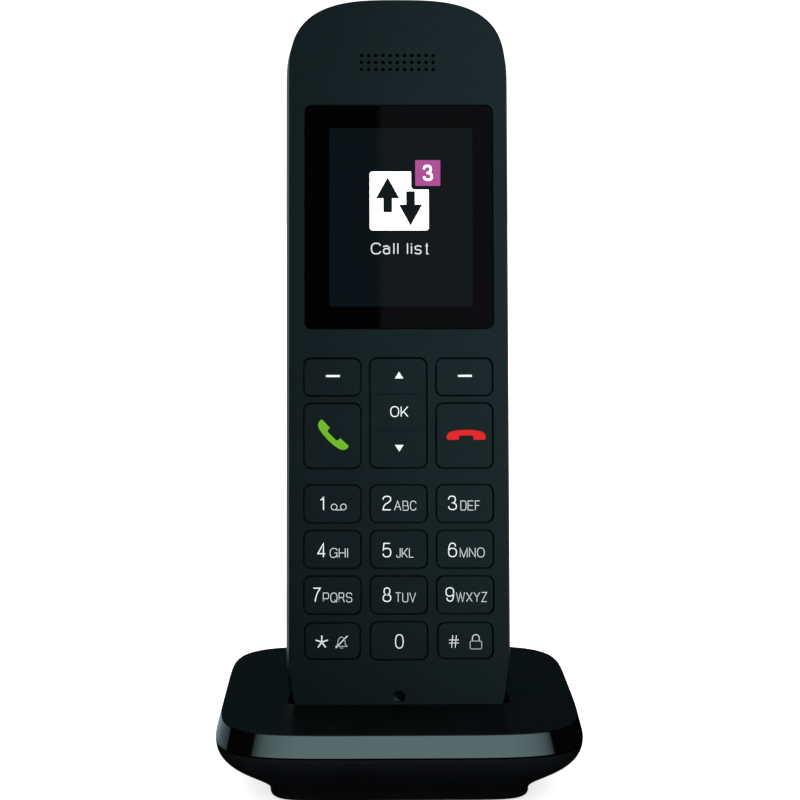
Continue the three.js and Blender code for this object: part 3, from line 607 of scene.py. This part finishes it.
def hook_lug(side):
    """A lug under the door's lower edge: a flat tongue with a root that rises into the door's wall."""
    x, half_wide = side * LUG_X, LUG_WIDE / 2
    low, high, near, far = LUG_LOW, LUG_HIGH, LUG_NEAR, LUG_FAR
    root_low, root_far = high - 2, CASE_DEPTH - REAR_WALL / 2
    outline = [(near, low), (far, low), (far, root_low)]
    outline += [(root_far, root_low), (root_far, high), (near, high)]
    skin = Skin(HANDSET)
    left = skin.ring((x - half_wide, depth, z) for depth, z in outline)
    right = skin.ring((x + half_wide, depth, z) for depth, z in outline)
    skin.bridge(left, right)
    skin.fill(left, axes=(1, 2))
    skin.fill(right, axes=(1, 2))
    return skin.object("lug", CASE)


def battery_cover():
    shell = boolean(rear_shell("battery_cover"), door_block(0), "INTERSECT")
    for side in (-1, 1):
        shell = boolean(shell, hook_lug(side), "UNION")
    return stand_for(shell, "door", "case_plastic", "battery_door")


# ---- Keys and their print ---------------------------------------------------------------

def ribbon(points, wide):
    """Outline of a stroke of even width along open points."""
    left, right = [], []
    for i, (x, y) in enumerate(points):
        before = Vector(points[max(i - 1, 0)])
        after = Vector(points[min(i + 1, len(points) - 1)])
        here = Vector((x, y))
        first = (here - before).normalized() if i > 0 else (after - here).normalized()
        second = (after - here).normalized() if i < len(points) - 1 else first
        along = (first + second).normalized()
        reach = wide / 2 / max(along.dot(first), 0.4)
        across = Vector((-along.y, along.x)) * reach
        left.append((x + across.x, y + across.y))
        right.append((x - across.x, y - across.y))
    return right + left[::-1]


def arc_points(x, y, radius, start, end, steps=10):
    """Points on an arc, angles in degrees."""
    angles = [math.radians(start + (end - start) * i / steps) for i in range(steps + 1)]
    return [(x + radius * math.cos(a), y + radius * math.sin(a)) for a in angles]


INK_NEAR, INK_FAR = -0.012, 0.03


def ink(skin, outline, slot, holes=()):
    skin.prism(outline, INK_NEAR, INK_FAR, holes, slot)


# Strokes of the lettering. Points are pairs of digits, across and up, on a grid of eight;
# a doubled point is a sharp corner, and "ring" strokes close on themselves.
GLYPHS = {
    "0": ("ring 08 88 80 00",), "1": ("06 66 88", "88 80"), "2": ("06 08 88 85 13 00 00 80",),
    "3": ("06 08 78 74 34", "34 84 80 00 02"), "4": ("60 60 68 68 02 02 82",),
    "5": ("78 18 18 04 04 15 85 80 00 02",), "6": ("ring 05 85 80 00", "76 78 08 03"),
    "7": ("08 88 88 34 20",), "8": ("ring 14 18 78 74", "ring 04 84 80 00"),
    "9": ("ring 03 08 88 83", "12 10 80 85"), "#": ("20 38", "50 68", "05 85", "03 83"),
    "A": ("00 48 48 80", "23 63"), "B": ("00 08 08 48 78 74 44 04", "04 44 84 80 40 00"),
    "C": ("86 88 08 00 80 82",), "D": ("00 08 08 38 88 80 30 00 00",), "E": ("88 08 08 00 00 80", "04 74"),
    "F": ("88 08 08 00", "04 74"), "G": ("86 88 08 00 70 83", "54 84 84 80"),
    "H": ("00 08", "80 88", "04 84"), "I": ("40 48",), "J": ("88 82 80 00 02",),
    "K": ("00 08", "88 02", "34 80"), "L": ("08 00 00 80",),
    "M": ("00 08 08 40 40 88 88 80",), "N": ("00 08 08 80 80 88",), "O": ("ring 08 88 80 00",),
    "P": ("00 08 08 48 88 83 43 03",), "Q": ("ring 08 88 80 00", "52 80"),
    "R": ("00 08 08 48 78 74 44 04", "54 80"), "S": ("86 88 08 04 84 80 00 02",), "T": ("08 88", "40 48"),
    "U": ("08 03 00 80 83 88",), "V": ("08 40 40 88",), "W": ("08 20 20 48 48 60 60 88",),
    "X": ("00 88", "08 80"), "Y": ("08 44 44 88", "44 40"), "Z": ("08 88 88 00 00 80",),
    "a": ("05 06 76 73", "75 70", "ring 04 74 70 00"), "i": ("40 46", "47 48"), "l": ("40 48",),
    "s": ("75 76 06 03 73 70 00 01",), "t": ("46 40 40 80", "48 46", "16 76"), " ": (),
}
# Width of each drawn letter as a share of its height.
GLYPH_WIDE = {
    "A": 0.86, "G": 0.86, "M": 0.9, "O": 0.88, "Q": 0.88, "V": 0.84, "W": 1.2, "X": 0.82, "Y": 0.84,
    "F": 0.6, "L": 0.58, "J": 0.5, "I": 0.06, "a": 0.56, "i": 0.06, "l": 0.06, "s": 0.56, "t": 0.28,
    " ": 0.2,
}
USUAL_WIDE = 0.74
LETTER_GAP = 0.27
DIGIT_PEN, LETTER_PEN = 0.23, 0.17


def smooth(points, closed):
    """A line through the middles of the given legs, rounded towards their corners."""
    middles = [(a + b) / 2 for a, b in zip(points, points[1:] + points[:1])]
    if closed:
        legs = [(middles[i - 1], points[i], middles[i]) for i in range(len(points))]
    elif len(points) < 3:
        return points
    else:
        legs = [(middles[i - 1], points[i], middles[i]) for i in range(1, len(points) - 1)]
        legs[0] = (points[0], *legs[0][1:])
        legs[-1] = (*legs[-1][:2], points[-1])
    line = [legs[0][0]]
    for start, corner, end in legs:
        sharp = (start - corner).length < 1e-6 or (end - corner).length < 1e-6
        for step in ((1,) if sharp else (0.2, 0.4, 0.6, 0.8, 1)):
            here = start.lerp(corner, step).lerp(corner.lerp(end, step), step)
            if (here - line[-1]).length > 1e-6:
                line.append(here)
    return line


def letters(skin, text, left, bottom, wide, tall, pen, slot, near=INK_NEAR, far=INK_FAR):
    """Lettering in even strokes that fills a box: its left edge, base line, width and height."""
    shares = [GLYPH_WIDE.get(letter, USUAL_WIDE) for letter in text]
    stretch = (wide - pen) / (sum(shares) + LETTER_GAP * (len(text) - 1))
    cursor = left + pen / 2
    for letter, share in zip(text, shares):
        for stroke in GLYPHS[letter]:
            closed = stroke.startswith("ring")
            pairs = stroke.split()[1:] if closed else stroke.split()
            points = [Vector((cursor + int(pair[0]) / 8 * share * stretch,
                              bottom + pen / 2 + int(pair[1]) / 8 * (tall - pen))) for pair in pairs]
            line = smooth(points, closed)
            skin.prism(ribbon([tuple(point) for point in line], pen), near, far, slot=slot)
        cursor += (share + LETTER_GAP) * stretch


def receiver(x, z, angle, scale, bend=0.0):
    """A telephone receiver lying on its back, turned and placed."""
    half = [(0, 0.95), (1.35, 0.95), (1.55, 0.75), (1.62, 0), (4.0, 0), (4.25, 0.25), (4.25, 0.8)]
    half += [(3.95, 1.45), (3.2, 1.85), (1.8, 2.1), (0, 2.17)]
    right = half[:-1]
    outline = right + [half[-1]] + [(-u, v) for u, v in reversed(half[1:-1])]
    turn = math.radians(angle)
    points = []
    for u, v in outline:
        v = v - 1.08 - bend * u * u
        points.append((x + scale * (u * math.cos(turn) - v * math.sin(turn)),
                       z + scale * (u * math.sin(turn) + v * math.cos(turn))))
    return points


# Material slots of a key cap, after the cap itself.
WHITE, GREY, ACCENT, SOFT = 1, 2, 3, 4


def print_voicemail(skin):
    """Two reels joined by a line of tape."""
    left, right, z = -14.1, -12.05, 42.85
    for x in (left, right):
        ink(skin, circle(0.72, x, z, 24), SOFT, [circle(0.55, x, z, 24)])
    ink(skin, ribbon([(left, z - 0.64), (right, z - 0.64)], 0.17), SOFT)


def print_star(skin):
    middle, reach, root = Vector((-16.8, 13.45)), 1.42, 0.05
    for i in range(5):
        angle = math.radians(90 + 72 * i)
        way = Vector((math.cos(angle), math.sin(angle)))
        ink(skin, ribbon([tuple(middle + root * way), tuple(middle + reach * way)], 0.27), WHITE)


def print_bell(skin):
    """A bell in outline with its clapper, struck through."""
    x, z = -12.5, 13.45
    foot_half, foot_drop = 1.34, 0.95
    side = [(1.25, -foot_drop), (0.85, -0.55), (0.75, 0.25), (0.5, 0.85), (0, 1.1)]
    outline = [(x + u, z + v) for u, v in side] + [(x - u, z + v) for u, v in reversed(side[:-1])]
    ink(skin, ribbon(outline, 0.18), GREY)
    ink(skin, ribbon([(x - foot_half, z - foot_drop), (x + foot_half, z - foot_drop)], 0.18), GREY)
    ink(skin, ribbon(arc_points(x, z - 1.05, 0.33, 200, 340, 6), 0.16), GREY)
    ink(skin, ribbon([(x - 1.27, z - 1.3), (x + 1.3, z + 1.33)], 0.2), WHITE)


def print_lock(skin):
    x, z, shackle_half, shoulder = 16.8, 12.7, 0.75, 0.93
    ink(skin, rounded_rectangle(2.7, 1.9, 0.45, x, z), GREY, [rounded_rectangle(2.34, 1.54, 0.27, x, z)])
    bow = arc_points(x, z + 1.5, shackle_half, 0, 180, 10)
    shackle = [(x + shackle_half, z + shoulder), *bow, (x - shackle_half, z + shoulder)]
    ink(skin, ribbon(shackle, 0.22), SOFT)


# Digit, its left edge, base line and width, then the letters beside it, their left edge and width.
KEY_PRINT = {
    "key_1": ("1", -17.21, 42.09, 0.92, "", 0, 0),
    "key_2": ("2", -3.49, 42.09, 1.91, "ABC", -0.97, 4.86),
    "key_3": ("3", 10.86, 42.09, 1.94, "DEF", 13.56, 4.31),
    "key_4": ("4", -17.76, 31.82, 1.84, "GHI", -15.06, 4.04),
    "key_5": ("5", -3.51, 31.82, 1.91, "JKL", -0.53, 3.87),
    "key_6": ("6", 10.82, 31.82, 1.95, "MNO", 13.37, 5.47),
    "key_7": ("7", -18.74, 22.11, 1.75, "PQRS", -16.56, 6.4),
    "key_8": ("8", -3.52, 22.11, 1.9, "TUV", -0.77, 4.54),
    "key_9": ("9", 10.2, 22.11, 1.92, "WXYZ", 12.5, 6.82),
    "key_0": ("0", -0.85, 11.95, 1.91, "", 0, 0),
    "key_hash": ("#", 10.88, 12.03, 2.3, "", 0, 0),
}
DIGIT_TALL, HASH_TALL, LETTER_TALL = 3.17, 2.89, 2.17
LETTER_DROP = 0.08


def print_digit(skin, node):
    text, left, base, wide, small, small_left, small_wide = KEY_PRINT[node]
    tall, pen = (HASH_TALL, LETTER_PEN) if text == "#" else (DIGIT_TALL, DIGIT_PEN)
    letters(skin, text, left, base, wide, tall, pen, WHITE)
    if small:
        letters(skin, small, small_left, base - LETTER_DROP, small_wide, LETTER_TALL, LETTER_PEN, SOFT)


def print_navigation(skin):
    """OK in the middle, with an arrow head above and below."""
    letters(skin, "OK", -1.76, 62.51, 3.98, 2.42, 0.21, WHITE)
    arrow_left, arrow_right = -0.75, 1.15
    arrow_x = (arrow_left + arrow_right) / 2
    ink(skin, [(arrow_left, 71.0), (arrow_right, 71.0), (arrow_x, 72.5)], WHITE)
    ink(skin, [(arrow_x, 54.95), (arrow_right, 56.4), (arrow_left, 56.4)], WHITE)


def print_key(skin, node):
    if node in KEY_PRINT:
        print_digit(skin, node)
    if node == "key_1":
        print_voicemail(skin)
    if node == "key_star":
        print_star(skin)
        print_bell(skin)
    if node == "key_hash":
        print_lock(skin)
    if node.startswith("softkey"):
        ink(skin, rounded_rectangle(3.1, 0.46, 0.16, cap_size(node)[0] + 0.18, 71.56), WHITE)
    if node == "call_key":
        ink(skin, receiver(-14.64, 58.26, 135, 1.0, 0.008), ACCENT)
    if node == "end_key":
        ink(skin, receiver(14.9, 58.58, 0, 1.0), ACCENT)
    if node == "nav_key":
        print_navigation(skin)


def nav_groove(skin, z):
    """A fine groove across the navigation key; its mouth is a hole in the key's face."""
    mouth = skin.deep_ring(rounded_rectangle(10.2, 0.26, 0.12, 0.05, z, 3), 0)
    floor = skin.deep_ring(rounded_rectangle(10.1, 0.16, 0.07, 0.05, z, 3), 0.12)
    skin.bridge(mouth, floor)
    skin.fill(floor)
    return mouth


def key_cap(node):
    skin = Skin(HANDSET)
    edge = 0.1
    back = span(node)[1].y
    flange = back - KEY_FLANGE_THICK
    rings = [skin.deep_ring(cap_outline(node, -edge * pulled), edge * down) for pulled, down in soft_edge(3)]
    for grow, depth in ((0, flange), (KEY_FLANGE, flange), (KEY_FLANGE, back)):
        rings.append(skin.deep_ring(cap_outline(node, grow), depth))
    skin.bridge(*rings)
    grooves = [nav_groove(skin, z) for z in NAV_GROOVES] if node == "nav_key" else []
    skin.fill(rings[0], grooves)
    skin.fill(rings[-1])
    print_key(skin, node)
    accent = RED_INK if node == "end_key" else GREEN_INK
    piece = skin.object(f"cap_{node}", KEY, WHITE_INK, GREY_INK, accent, SOFT_INK, angle=FLAT_FACE_ANGLE)
    return stand_for(piece, f"{node}_body", "key_plastic", node)


# ---- Display ----------------------------------------------------------------------------

def display_glass():
    skin = Skin(HANDSET)
    edge, sunk = 0.08, 0.06
    rings = [skin.deep_ring(window_outline(-edge * pulled), sunk + edge * down)
             for pulled, down in soft_edge(3)]
    rings.append(skin.deep_ring(window_outline(0), span("display_window")[1].y))
    skin.bridge(*rings)
    skin.fill(rings[0])
    skin.fill(rings[-1])
    return stand_for(skin.object("window_glass", GLASS), "handset", "window", "display_window")


# Layers of the lit picture, from the front: marks on the icon, the lit shapes, the dark field and its back.
MARK_LAYER, LIT_LAYER, FIELD_LAYER, FIELD_BACK = 0.031, 0.043, 0.055, 0.075
ICON_LOW, ICON_HIGH, ICON_LEFT, ICON_RIGHT = 103.76, 116.84, -6.17, 6.87


def icon_outline():
    """A square with round corners and a notch at its upper right for the badge."""
    notch_x, notch_z, corner, tight, hollow = 2.98, 112.82, 0.63, 0.12, 0.85
    outline = arc_points(ICON_RIGHT - corner, ICON_LOW + corner, corner, -90, 0, 6)
    outline += arc_points(ICON_RIGHT - tight, notch_z - tight, tight, 0, 90, 3)
    outline += arc_points(notch_x + hollow, notch_z + hollow, hollow, 270, 180, 8)
    outline += arc_points(notch_x - tight, ICON_HIGH - tight, tight, 0, 90, 3)
    outline += arc_points(ICON_LEFT + corner, ICON_HIGH - corner, corner, 90, 180, 6)
    outline += arc_points(ICON_LEFT + corner, ICON_LOW + corner, corner, 180, 270, 6)
    return outline


def arrow_outline(x, root, tip):
    """A block arrow from the height of its root to that of its tip."""
    head, head_half, stem, blunt = 4.7, 2.6, 0.97, 0.2
    up = 1 if tip > root else -1
    base = tip - up * head
    points = [(x - stem, root + up * blunt), (x - stem + blunt, root), (x + stem - blunt, root)]
    points += [(x + stem, root + up * blunt), (x + stem, base), (x + head_half, base), (x, tip)]
    return points + [(x - head_half, base), (x - stem, base)]


def display_picture():
    """What the lit display shows: a dark field, a generic call-list icon, a count and a caption."""
    skin = Skin(HANDSET)
    skin.prism(rounded_rectangle(31.7, 39.6, 0.05, 0.7, 106.7, 1), FIELD_LAYER, FIELD_BACK)
    skin.prism(icon_outline(), LIT_LAYER, FIELD_BACK, slot=1)
    for arrow in ((-2.2, 107.76, 115.57), (2.85, 112.46, 104.8)):
        skin.prism(arrow_outline(*arrow), MARK_LAYER, FIELD_LAYER, slot=0)
    skin.prism(rounded_rectangle(5.55, 5.73, 0.2, 6.67, 116.52), LIT_LAYER, FIELD_BACK, slot=2)
    letters(skin, "3", 5.6, 114.75, 2.2, 3.6, 0.48, 1, MARK_LAYER, FIELD_LAYER)
    letters(skin, "Call list", -5.95, 98.43, 12.85, 2.6, 0.26, 3, LIT_LAYER, FIELD_BACK)
    piece = skin.object("display_picture", SCREEN, LIT_WHITE, LIT_BADGE, LIT_GREY)
    return stand_for(piece, "handset", "window")


# ---- Cradle -----------------------------------------------------------------------------

def square(half, power=CRADLE_POWER):
    return superellipse(half, half, power)


def band_half(z):
    """Half the width over the band's sloping face at a height."""
    return RIM_HALF + (DECK_HALF - RIM_HALF) * (z - RIM_Z) / (DECK_Z - RIM_Z)


def gloss_band():
    """The polished band: a sloping face with soft edges, tucked under the deck's lip."""
    skin = Skin()
    low_edge, high_edge = 0.08, 0.06
    top = DECK_Z - DECK_LIP - BAND_SLIT
    outer = [(RIM_Z + low_edge * down, low_edge * pulled) for pulled, down in soft_edge(4)]
    low, high = RIM_Z + low_edge, top - high_edge
    outer += [(low + (high - low) * i / 6, 0) for i in range(1, 6)]
    outer += [(top - high_edge * pulled, high_edge * down) for pulled, down in soft_edge(4)]
    inner = [(top, BAND_THICK), (RIM_Z, BAND_THICK)]
    rings = [skin.level_ring(square(band_half(z) - inset), z) for z, inset in outer + inner]
    skin.bridge(*rings, rings[0])
    return stand_for(skin.object("polished_band", BAND), "cradle", "gloss_trim", "gloss_band")


def well_outline(grow):
    wide, deep = 2 * (WELL_HALF + grow), WELL_FAR - WELL_NEAR + 2 * grow
    return rounded_rectangle(wide, deep, WELL_CORNER + grow, 0, (WELL_FAR + WELL_NEAR) / 2, 8)


def well_ring(skin, grow, below=None, height=None):
    """A ring of the slanting well: at a distance below the deck, or at a height in the handset's frame."""
    points = []
    for x, y in well_outline(grow):
        z = height if below is None else y * math.tan(LEAN) - below / math.cos(LEAN)
        points.append(HANDSET @ Vector((x, y, z)))
    return skin.ring(points)


def pin_rings(skin, height):
    """The two holes for the charge pins, at a height in the handset's frame."""
    outlines = [circle(PIN_HOLE_RADIUS, side * CHARGE_X, CHARGE_DEPTH, 32) for side in (-1, 1)]
    return [skin.ring(HANDSET @ Vector((x, y, height)) for x, y in outline) for outline in outlines]


def deck_profile():
    """The top shell's outside and inside as (height, pulled in from the band's slope)."""
    edge = 0.1
    inset = BAND_THICK + BAND_SLIT
    profile = [(DECK_Z - edge * down, edge * pulled) for pulled, down in soft_edge(4)]
    profile += [(DECK_Z - DECK_LIP, 0), (DECK_Z - DECK_LIP, inset), (RIM_Z, inset)]
    return profile + [(RIM_Z, inset + DECK_WALL), (DECK_Z - DECK_WALL, inset + DECK_WALL)]


def cradle_deck():
    """Level top with its lip over the band, the well's walls and floor, and the hidden skirt."""
    skin = Skin()
    rings = [skin.level_ring(square(band_half(z) - pull), z) for z, pull in deck_profile()]
    skin.bridge(*rings)
    mouth = 0.2
    well = [well_ring(skin, mouth * pulled, below=mouth * down) for pulled, down in soft_edge(4)]
    well.append(well_ring(skin, 0, height=WELL_FLOOR))
    skin.bridge(*well)
    outside = [well_ring(skin, WELL_WALL, below=DECK_WALL)]
    outside.append(well_ring(skin, WELL_WALL, height=WELL_FLOOR - WELL_WALL))
    skin.bridge(*outside)
    skin.fill(rings[0], [well[0]], (0, 1))
    skin.fill(rings[-1], [outside[0]], (0, 1))
    top_pins = pin_rings(skin, WELL_FLOOR)
    low_pins = pin_rings(skin, WELL_FLOOR - WELL_WALL)
    for top, low in zip(top_pins, low_pins):
        skin.bridge(top, low)
    skin.fill(well[-1], top_pins, (0, 1))
    skin.fill(outside[-1], low_pins, (0, 1))
    deck = skin.object("cradle_deck", DECK)
    return stand_for(deck, "cradle", "case_plastic", "cradle_top_shell", "charging_well")


def bowl_profile(top, bottom, wall, steps):
    """(height, half width in x, half width in y, power) between two heights, pulled in by a wall."""
    rows = []
    for i in range(steps + 1):
        down = i / steps
        out = (1 - down ** BOWL_FULLNESS) ** BOWL_SWEEP
        power = CRADLE_POWER + (FOOT_POWER - CRADLE_POWER) * (1 - out)
        rows.append((top - (top - bottom) * down, FOOT_X + (RIM_HALF - FOOT_X) * out - wall,
                     FOOT_Y + (RIM_HALF - FOOT_Y) * out - wall, power))
    return rows


def rim_row(height, inset):
    return height, RIM_HALF - inset, RIM_HALF - inset, CRADLE_POWER


def foot_row(height, inset):
    return height, FOOT_X - inset, FOOT_Y - inset, FOOT_POWER


def bowl_outside():
    """From the rim down the bowl, round the foot's edge and up into the mat's pocket."""
    edge, foot_edge = 0.1, 0.3
    rows = [rim_row(BOWL_TOP, edge), rim_row(BOWL_TOP - edge, 0)]
    rows += bowl_profile(BOWL_TOP, FOOT_TOP, 0, 28)[1:]
    rows += [foot_row(FOOT_CLEAR + foot_edge * pulled, foot_edge * down) for pulled, down in soft_edge(4)]
    return rows + [foot_row(FOOT_CLEAR, SHELL_WALL), foot_row(MAT_CEILING, SHELL_WALL)]


def bowl_inside():
    """From the rim down to the floor. The profile's first rows, beside the rim, are left out."""
    rows = bowl_profile(BOWL_TOP + BOWL_LIFT, FLOOR_TOP + 0.3, SHELL_WALL, 12)[4:]
    return [rim_row(BOWL_TOP, SHELL_WALL), *rows, foot_row(FLOOR_TOP, SHELL_WALL)]


def port_cutter():
    """A cutter for the power port, which opens towards the back."""
    skin = Skin()
    wide, tall, middle, near, far = 9.4, 6.9, 8.35, 19, 45
    skin.prism(rounded_rectangle(wide, tall, 0.6, 0, middle, 5), near, far)
    return skin.object("cutter", SKIRT)


def cradle_bowl():
    """The bowl-shaped underside with its foot, a pocket for the mat and the power port at the back."""
    skin = Skin()
    outer, inner = [[skin.level_ring(superellipse(x, y, power), z) for z, x, y, power in rows]
                    for rows in (bowl_outside(), bowl_inside())]
    skin.bridge(*outer)
    skin.fill(outer[-1], axes=(0, 1))
    skin.bridge(outer[0], *inner)
    skin.fill(inner[-1], axes=(0, 1))
    bowl = boolean(skin.object("cradle_bowl", SKIRT), port_cutter(), "DIFFERENCE")
    return stand_for(bowl, "cradle", "case_plastic", "cradle_bottom_shell")


# ---- CAD pieces that keep their shape ---------------------------------------------------

def soften(node):
    """A fine bevel along the edges of a CAD piece."""
    modifier = frame["nodes"][node].modifiers.new("edge", "BEVEL")
    modifier.width = 0.15 * MM
    modifier.segments = 2
    modifier.limit_method = "ANGLE"


def dress(node, material):
    piece = frame["nodes"][node]
    piece.data.materials.clear()
    piece.data.materials.append(material)


def dress_cad_pieces():
    looks = {
        INNER: ["display_module", "earpiece_speaker", "ringer_speaker", "nav_pivot", "battery_tray",
                "dc_inlet"],
        SILICONE: ["keypad_mat"],
        BOARD: ["main_board", "charge_board"],
        STEEL: ["microphone", "rf_shield", "contact_bridge"],
        GOLD: [],
        WRAP: [],
        RUBBER: ["antislip_mat"],
    }
    for side in ("left", "right"):
        looks[STEEL] += [f"{piece}_{side}" for piece in ("contact", "case_screw", "ballast", "pin_barrel")]
        looks[GOLD] += [f"charge_contact_{side}", f"charge_pin_{side}"]
        looks[WRAP] += [f"battery_cell_{side}"]
    looks[STEEL] += [f"cradle_screw_{i}" for i in range(1, 5)]
    for material, nodes in looks.items():
        for node in nodes:
            dress(node, material)
    for node in ("battery_tray", "dc_inlet", "antislip_mat", "case_screw_left", "case_screw_right"):
        soften(node)


# ---- Stage: camera, floor and lights ----------------------------------------------------

CAMERA_PLACE = Vector((-6.7, -440, 134.21))
CAMERA_YAW, CAMERA_PITCH = math.radians(0.93), math.radians(6.74)
CAMERA_LENS, CAMERA_SENSOR = 90.2, 36


def add_camera():
    data = bpy.data.cameras.new("camera")
    data.lens = CAMERA_LENS
    data.sensor_width = CAMERA_SENSOR
    data.clip_start, data.clip_end = 0.01, 20
    camera = bpy.data.objects.new("camera", data)
    bpy.context.scene.collection.objects.link(camera)
    level = math.cos(CAMERA_PITCH)
    forward = Vector((math.sin(CAMERA_YAW) * level, math.cos(CAMERA_YAW) * level, -math.sin(CAMERA_PITCH)))
    camera.location = CAMERA_PLACE * MM
    camera.rotation_mode = "QUATERNION"
    camera.rotation_quaternion = forward.to_track_quat("-Z", "Y")
    bpy.context.scene.camera = camera


def linked(name, pieces):
    """A collection of the pieces that one light falls on."""
    group = bpy.data.collections.new(name)
    for piece in pieces:
        group.objects.link(piece)
    return group


def add_panel(name, place, target, size, glow, pieces=()):
    """A soft light seen only as a reflection. Places and sizes are in metres, glow is its radiance."""
    data = bpy.data.lights.new(name, "AREA")
    data.shape = "RECTANGLE"
    data.size, data.size_y = size
    strength = max(glow)
    data.energy = strength * math.pi * size[0] * size[1]
    data.color = [channel / strength for channel in glow]
    light = bpy.data.objects.new(name, data)
    light.location = place
    light.rotation_mode = "QUATERNION"
    light.rotation_quaternion = (Vector(target) - Vector(place)).to_track_quat("-Z", "Y")
    light.visible_camera = False
    light.visible_diffuse = False
    light.visible_transmission = False
    bpy.context.scene.collection.objects.link(light)
    if pieces:
        light.light_linking.receiver_collection = linked(name, pieces)


def add_floor():
    mesh = bpy.data.meshes.new("floor")
    half = 4.0
    corners = [(-half, -half, 0), (half, -half, 0), (half, half, 0), (-half, half, 0)]
    mesh.from_pydata(corners, [], [(0, 1, 2, 3)])
    floor = bpy.data.objects.new("floor", mesh)
    bpy.context.scene.collection.objects.link(floor)
    material, shader, _ = new_material("floor_paint")
    shader.inputs["Base Color"].default_value = (0.93, 0.93, 0.93, 1)
    shader.inputs["Roughness"].default_value = 0.9
    shader.inputs["Specular IOR Level"].default_value = 0.1
    shader.inputs["Emission Color"].default_value = (1, 1, 1, 1)
    shader.inputs["Emission Strength"].default_value = 0.62
    mesh.materials.append(material)
    floor.visible_glossy = False


def add_world():
    world = bpy.data.worlds.new("studio")
    bpy.context.scene.world = world
    world.use_nodes = True
    background = world.node_tree.nodes["Background"]
    background.inputs["Color"].default_value = (1, 1, 1, 1)
    background.inputs["Strength"].default_value = 1.3
    world.cycles_visibility.glossy = False


def add_band_strips(band):
    """A long strip light in front of the cradle that fades towards both ends."""
    y, low, high, glow = -0.64, 0.02, 0.46, Vector((2.35, 3.6, 3.6))
    segments = [(-0.1, 0.15, 1.0)]
    for start, end, count in ((-0.1, -0.738, 12), (0.15, 1.074, 14)):
        for i in range(count):
            edges = [start + (end - start) * (i + k) / count for k in (0, 1)]
            fade = 1 - 0.9 * ((i + 0.5) / count) ** 1.2
            segments.append((min(edges), max(edges), fade))
    z = (low + high) / 2
    for i, (left, right, share) in enumerate(segments):
        x = (left + right) / 2
        add_panel(f"band_strip_{i}", (x, y, z), (x, 0, z), (right - left, high - low), glow * share, band)


def add_lights(case, rear, glass, band, deck, bowl):
    """Panels of a small studio. Each group of pieces has its own, as flags and cards would do."""
    panels = (
        ("window_card", (0.609, -2.0, 0.8), (0.609, 0, 0.8), (1.2, 1.0), (0.095, 0.09, 0.10), glass),
        ("case_card", (0.76, -2.0, 0.85), (0.76, 0, 0.85), (1.5, 1.3), (0.43, 0.85, 0.90), case),
        ("edge_left", (-0.9, 2.0, 0.4), (-0.9, 0, 0.4), (1.7, 2.4), (0.22, 0.32, 0.32), case),
        ("edge_right", (0.9, 2.0, 0.4), (0.9, 0, 0.4), (1.7, 2.4), (0.10, 0.13, 0.13), case),
        ("rear_far", (0, 2.6, -0.6), (0, 0, 0.1), (1.8, 3.2), (0.42, 0.62, 0.66), rear),
        ("rear_left", (-2.2, 1.5, -0.6), (0, 0, 0.1), (1.8, 3.2), (0.42, 0.62, 0.66), rear),
        ("rear_right", (2.2, 1.5, -0.6), (0, 0, 0.1), (1.8, 3.2), (0.42, 0.62, 0.66), rear),
        ("deck_front", (0, -1.6, 0.9), (0, 0, 0), (3.2, 0.8), (0.22, 0.30, 0.33), deck),
        ("deck_left", (-1.0, 2.0, 0.6), (-1.0, 0, 0.6), (2.0, 1.6), (0.023, 0.042, 0.048), deck),
        ("deck_right", (1.0, 2.0, 0.6), (1.0, 0, 0.6), (2.0, 1.6), (0.016, 0.028, 0.034), deck),
        ("band_table", (-0.6, 0.55, 0.037), (-0.54, 0.55, 1.037), (1.14, 1.14), (0.28, 0.42, 0.46), band),
        ("bowl_table", (0, -0.37, 0.002), (0, -0.37, 1), (1.2, 0.56), (0.42, 1.35, 1.6), bowl),
        ("top_box", (0, 0, 1.8), (0, 0, 0), (1.6, 1.6), (0.6, 0.66, 0.66), ()),
    )
    for name, place, target, size, glow, pieces in panels:
        add_panel(name, place, target, size, glow, pieces)
    add_band_strips(band)


def add_stage():
    add_camera()
    add_floor()
    add_world()
    bpy.context.scene.view_settings.view_transform = "Standard"


# ---- Everything -------------------------------------------------------------------------

front_piece = front_case()
rear_pieces = [rear_case(), battery_cover()]
case_pieces = [front_piece, *rear_pieces, *[key_cap(node) for node in KEY_NODES]]
glass_pieces = [display_glass(), display_picture()]
band_piece = gloss_band()
deck_piece = cradle_deck()
bowl_piece = cradle_bowl()
dress_cad_pieces()
add_stage()
add_lights(case_pieces, rear_pieces, glass_pieces, [band_piece], [deck_piece], [bowl_piece])
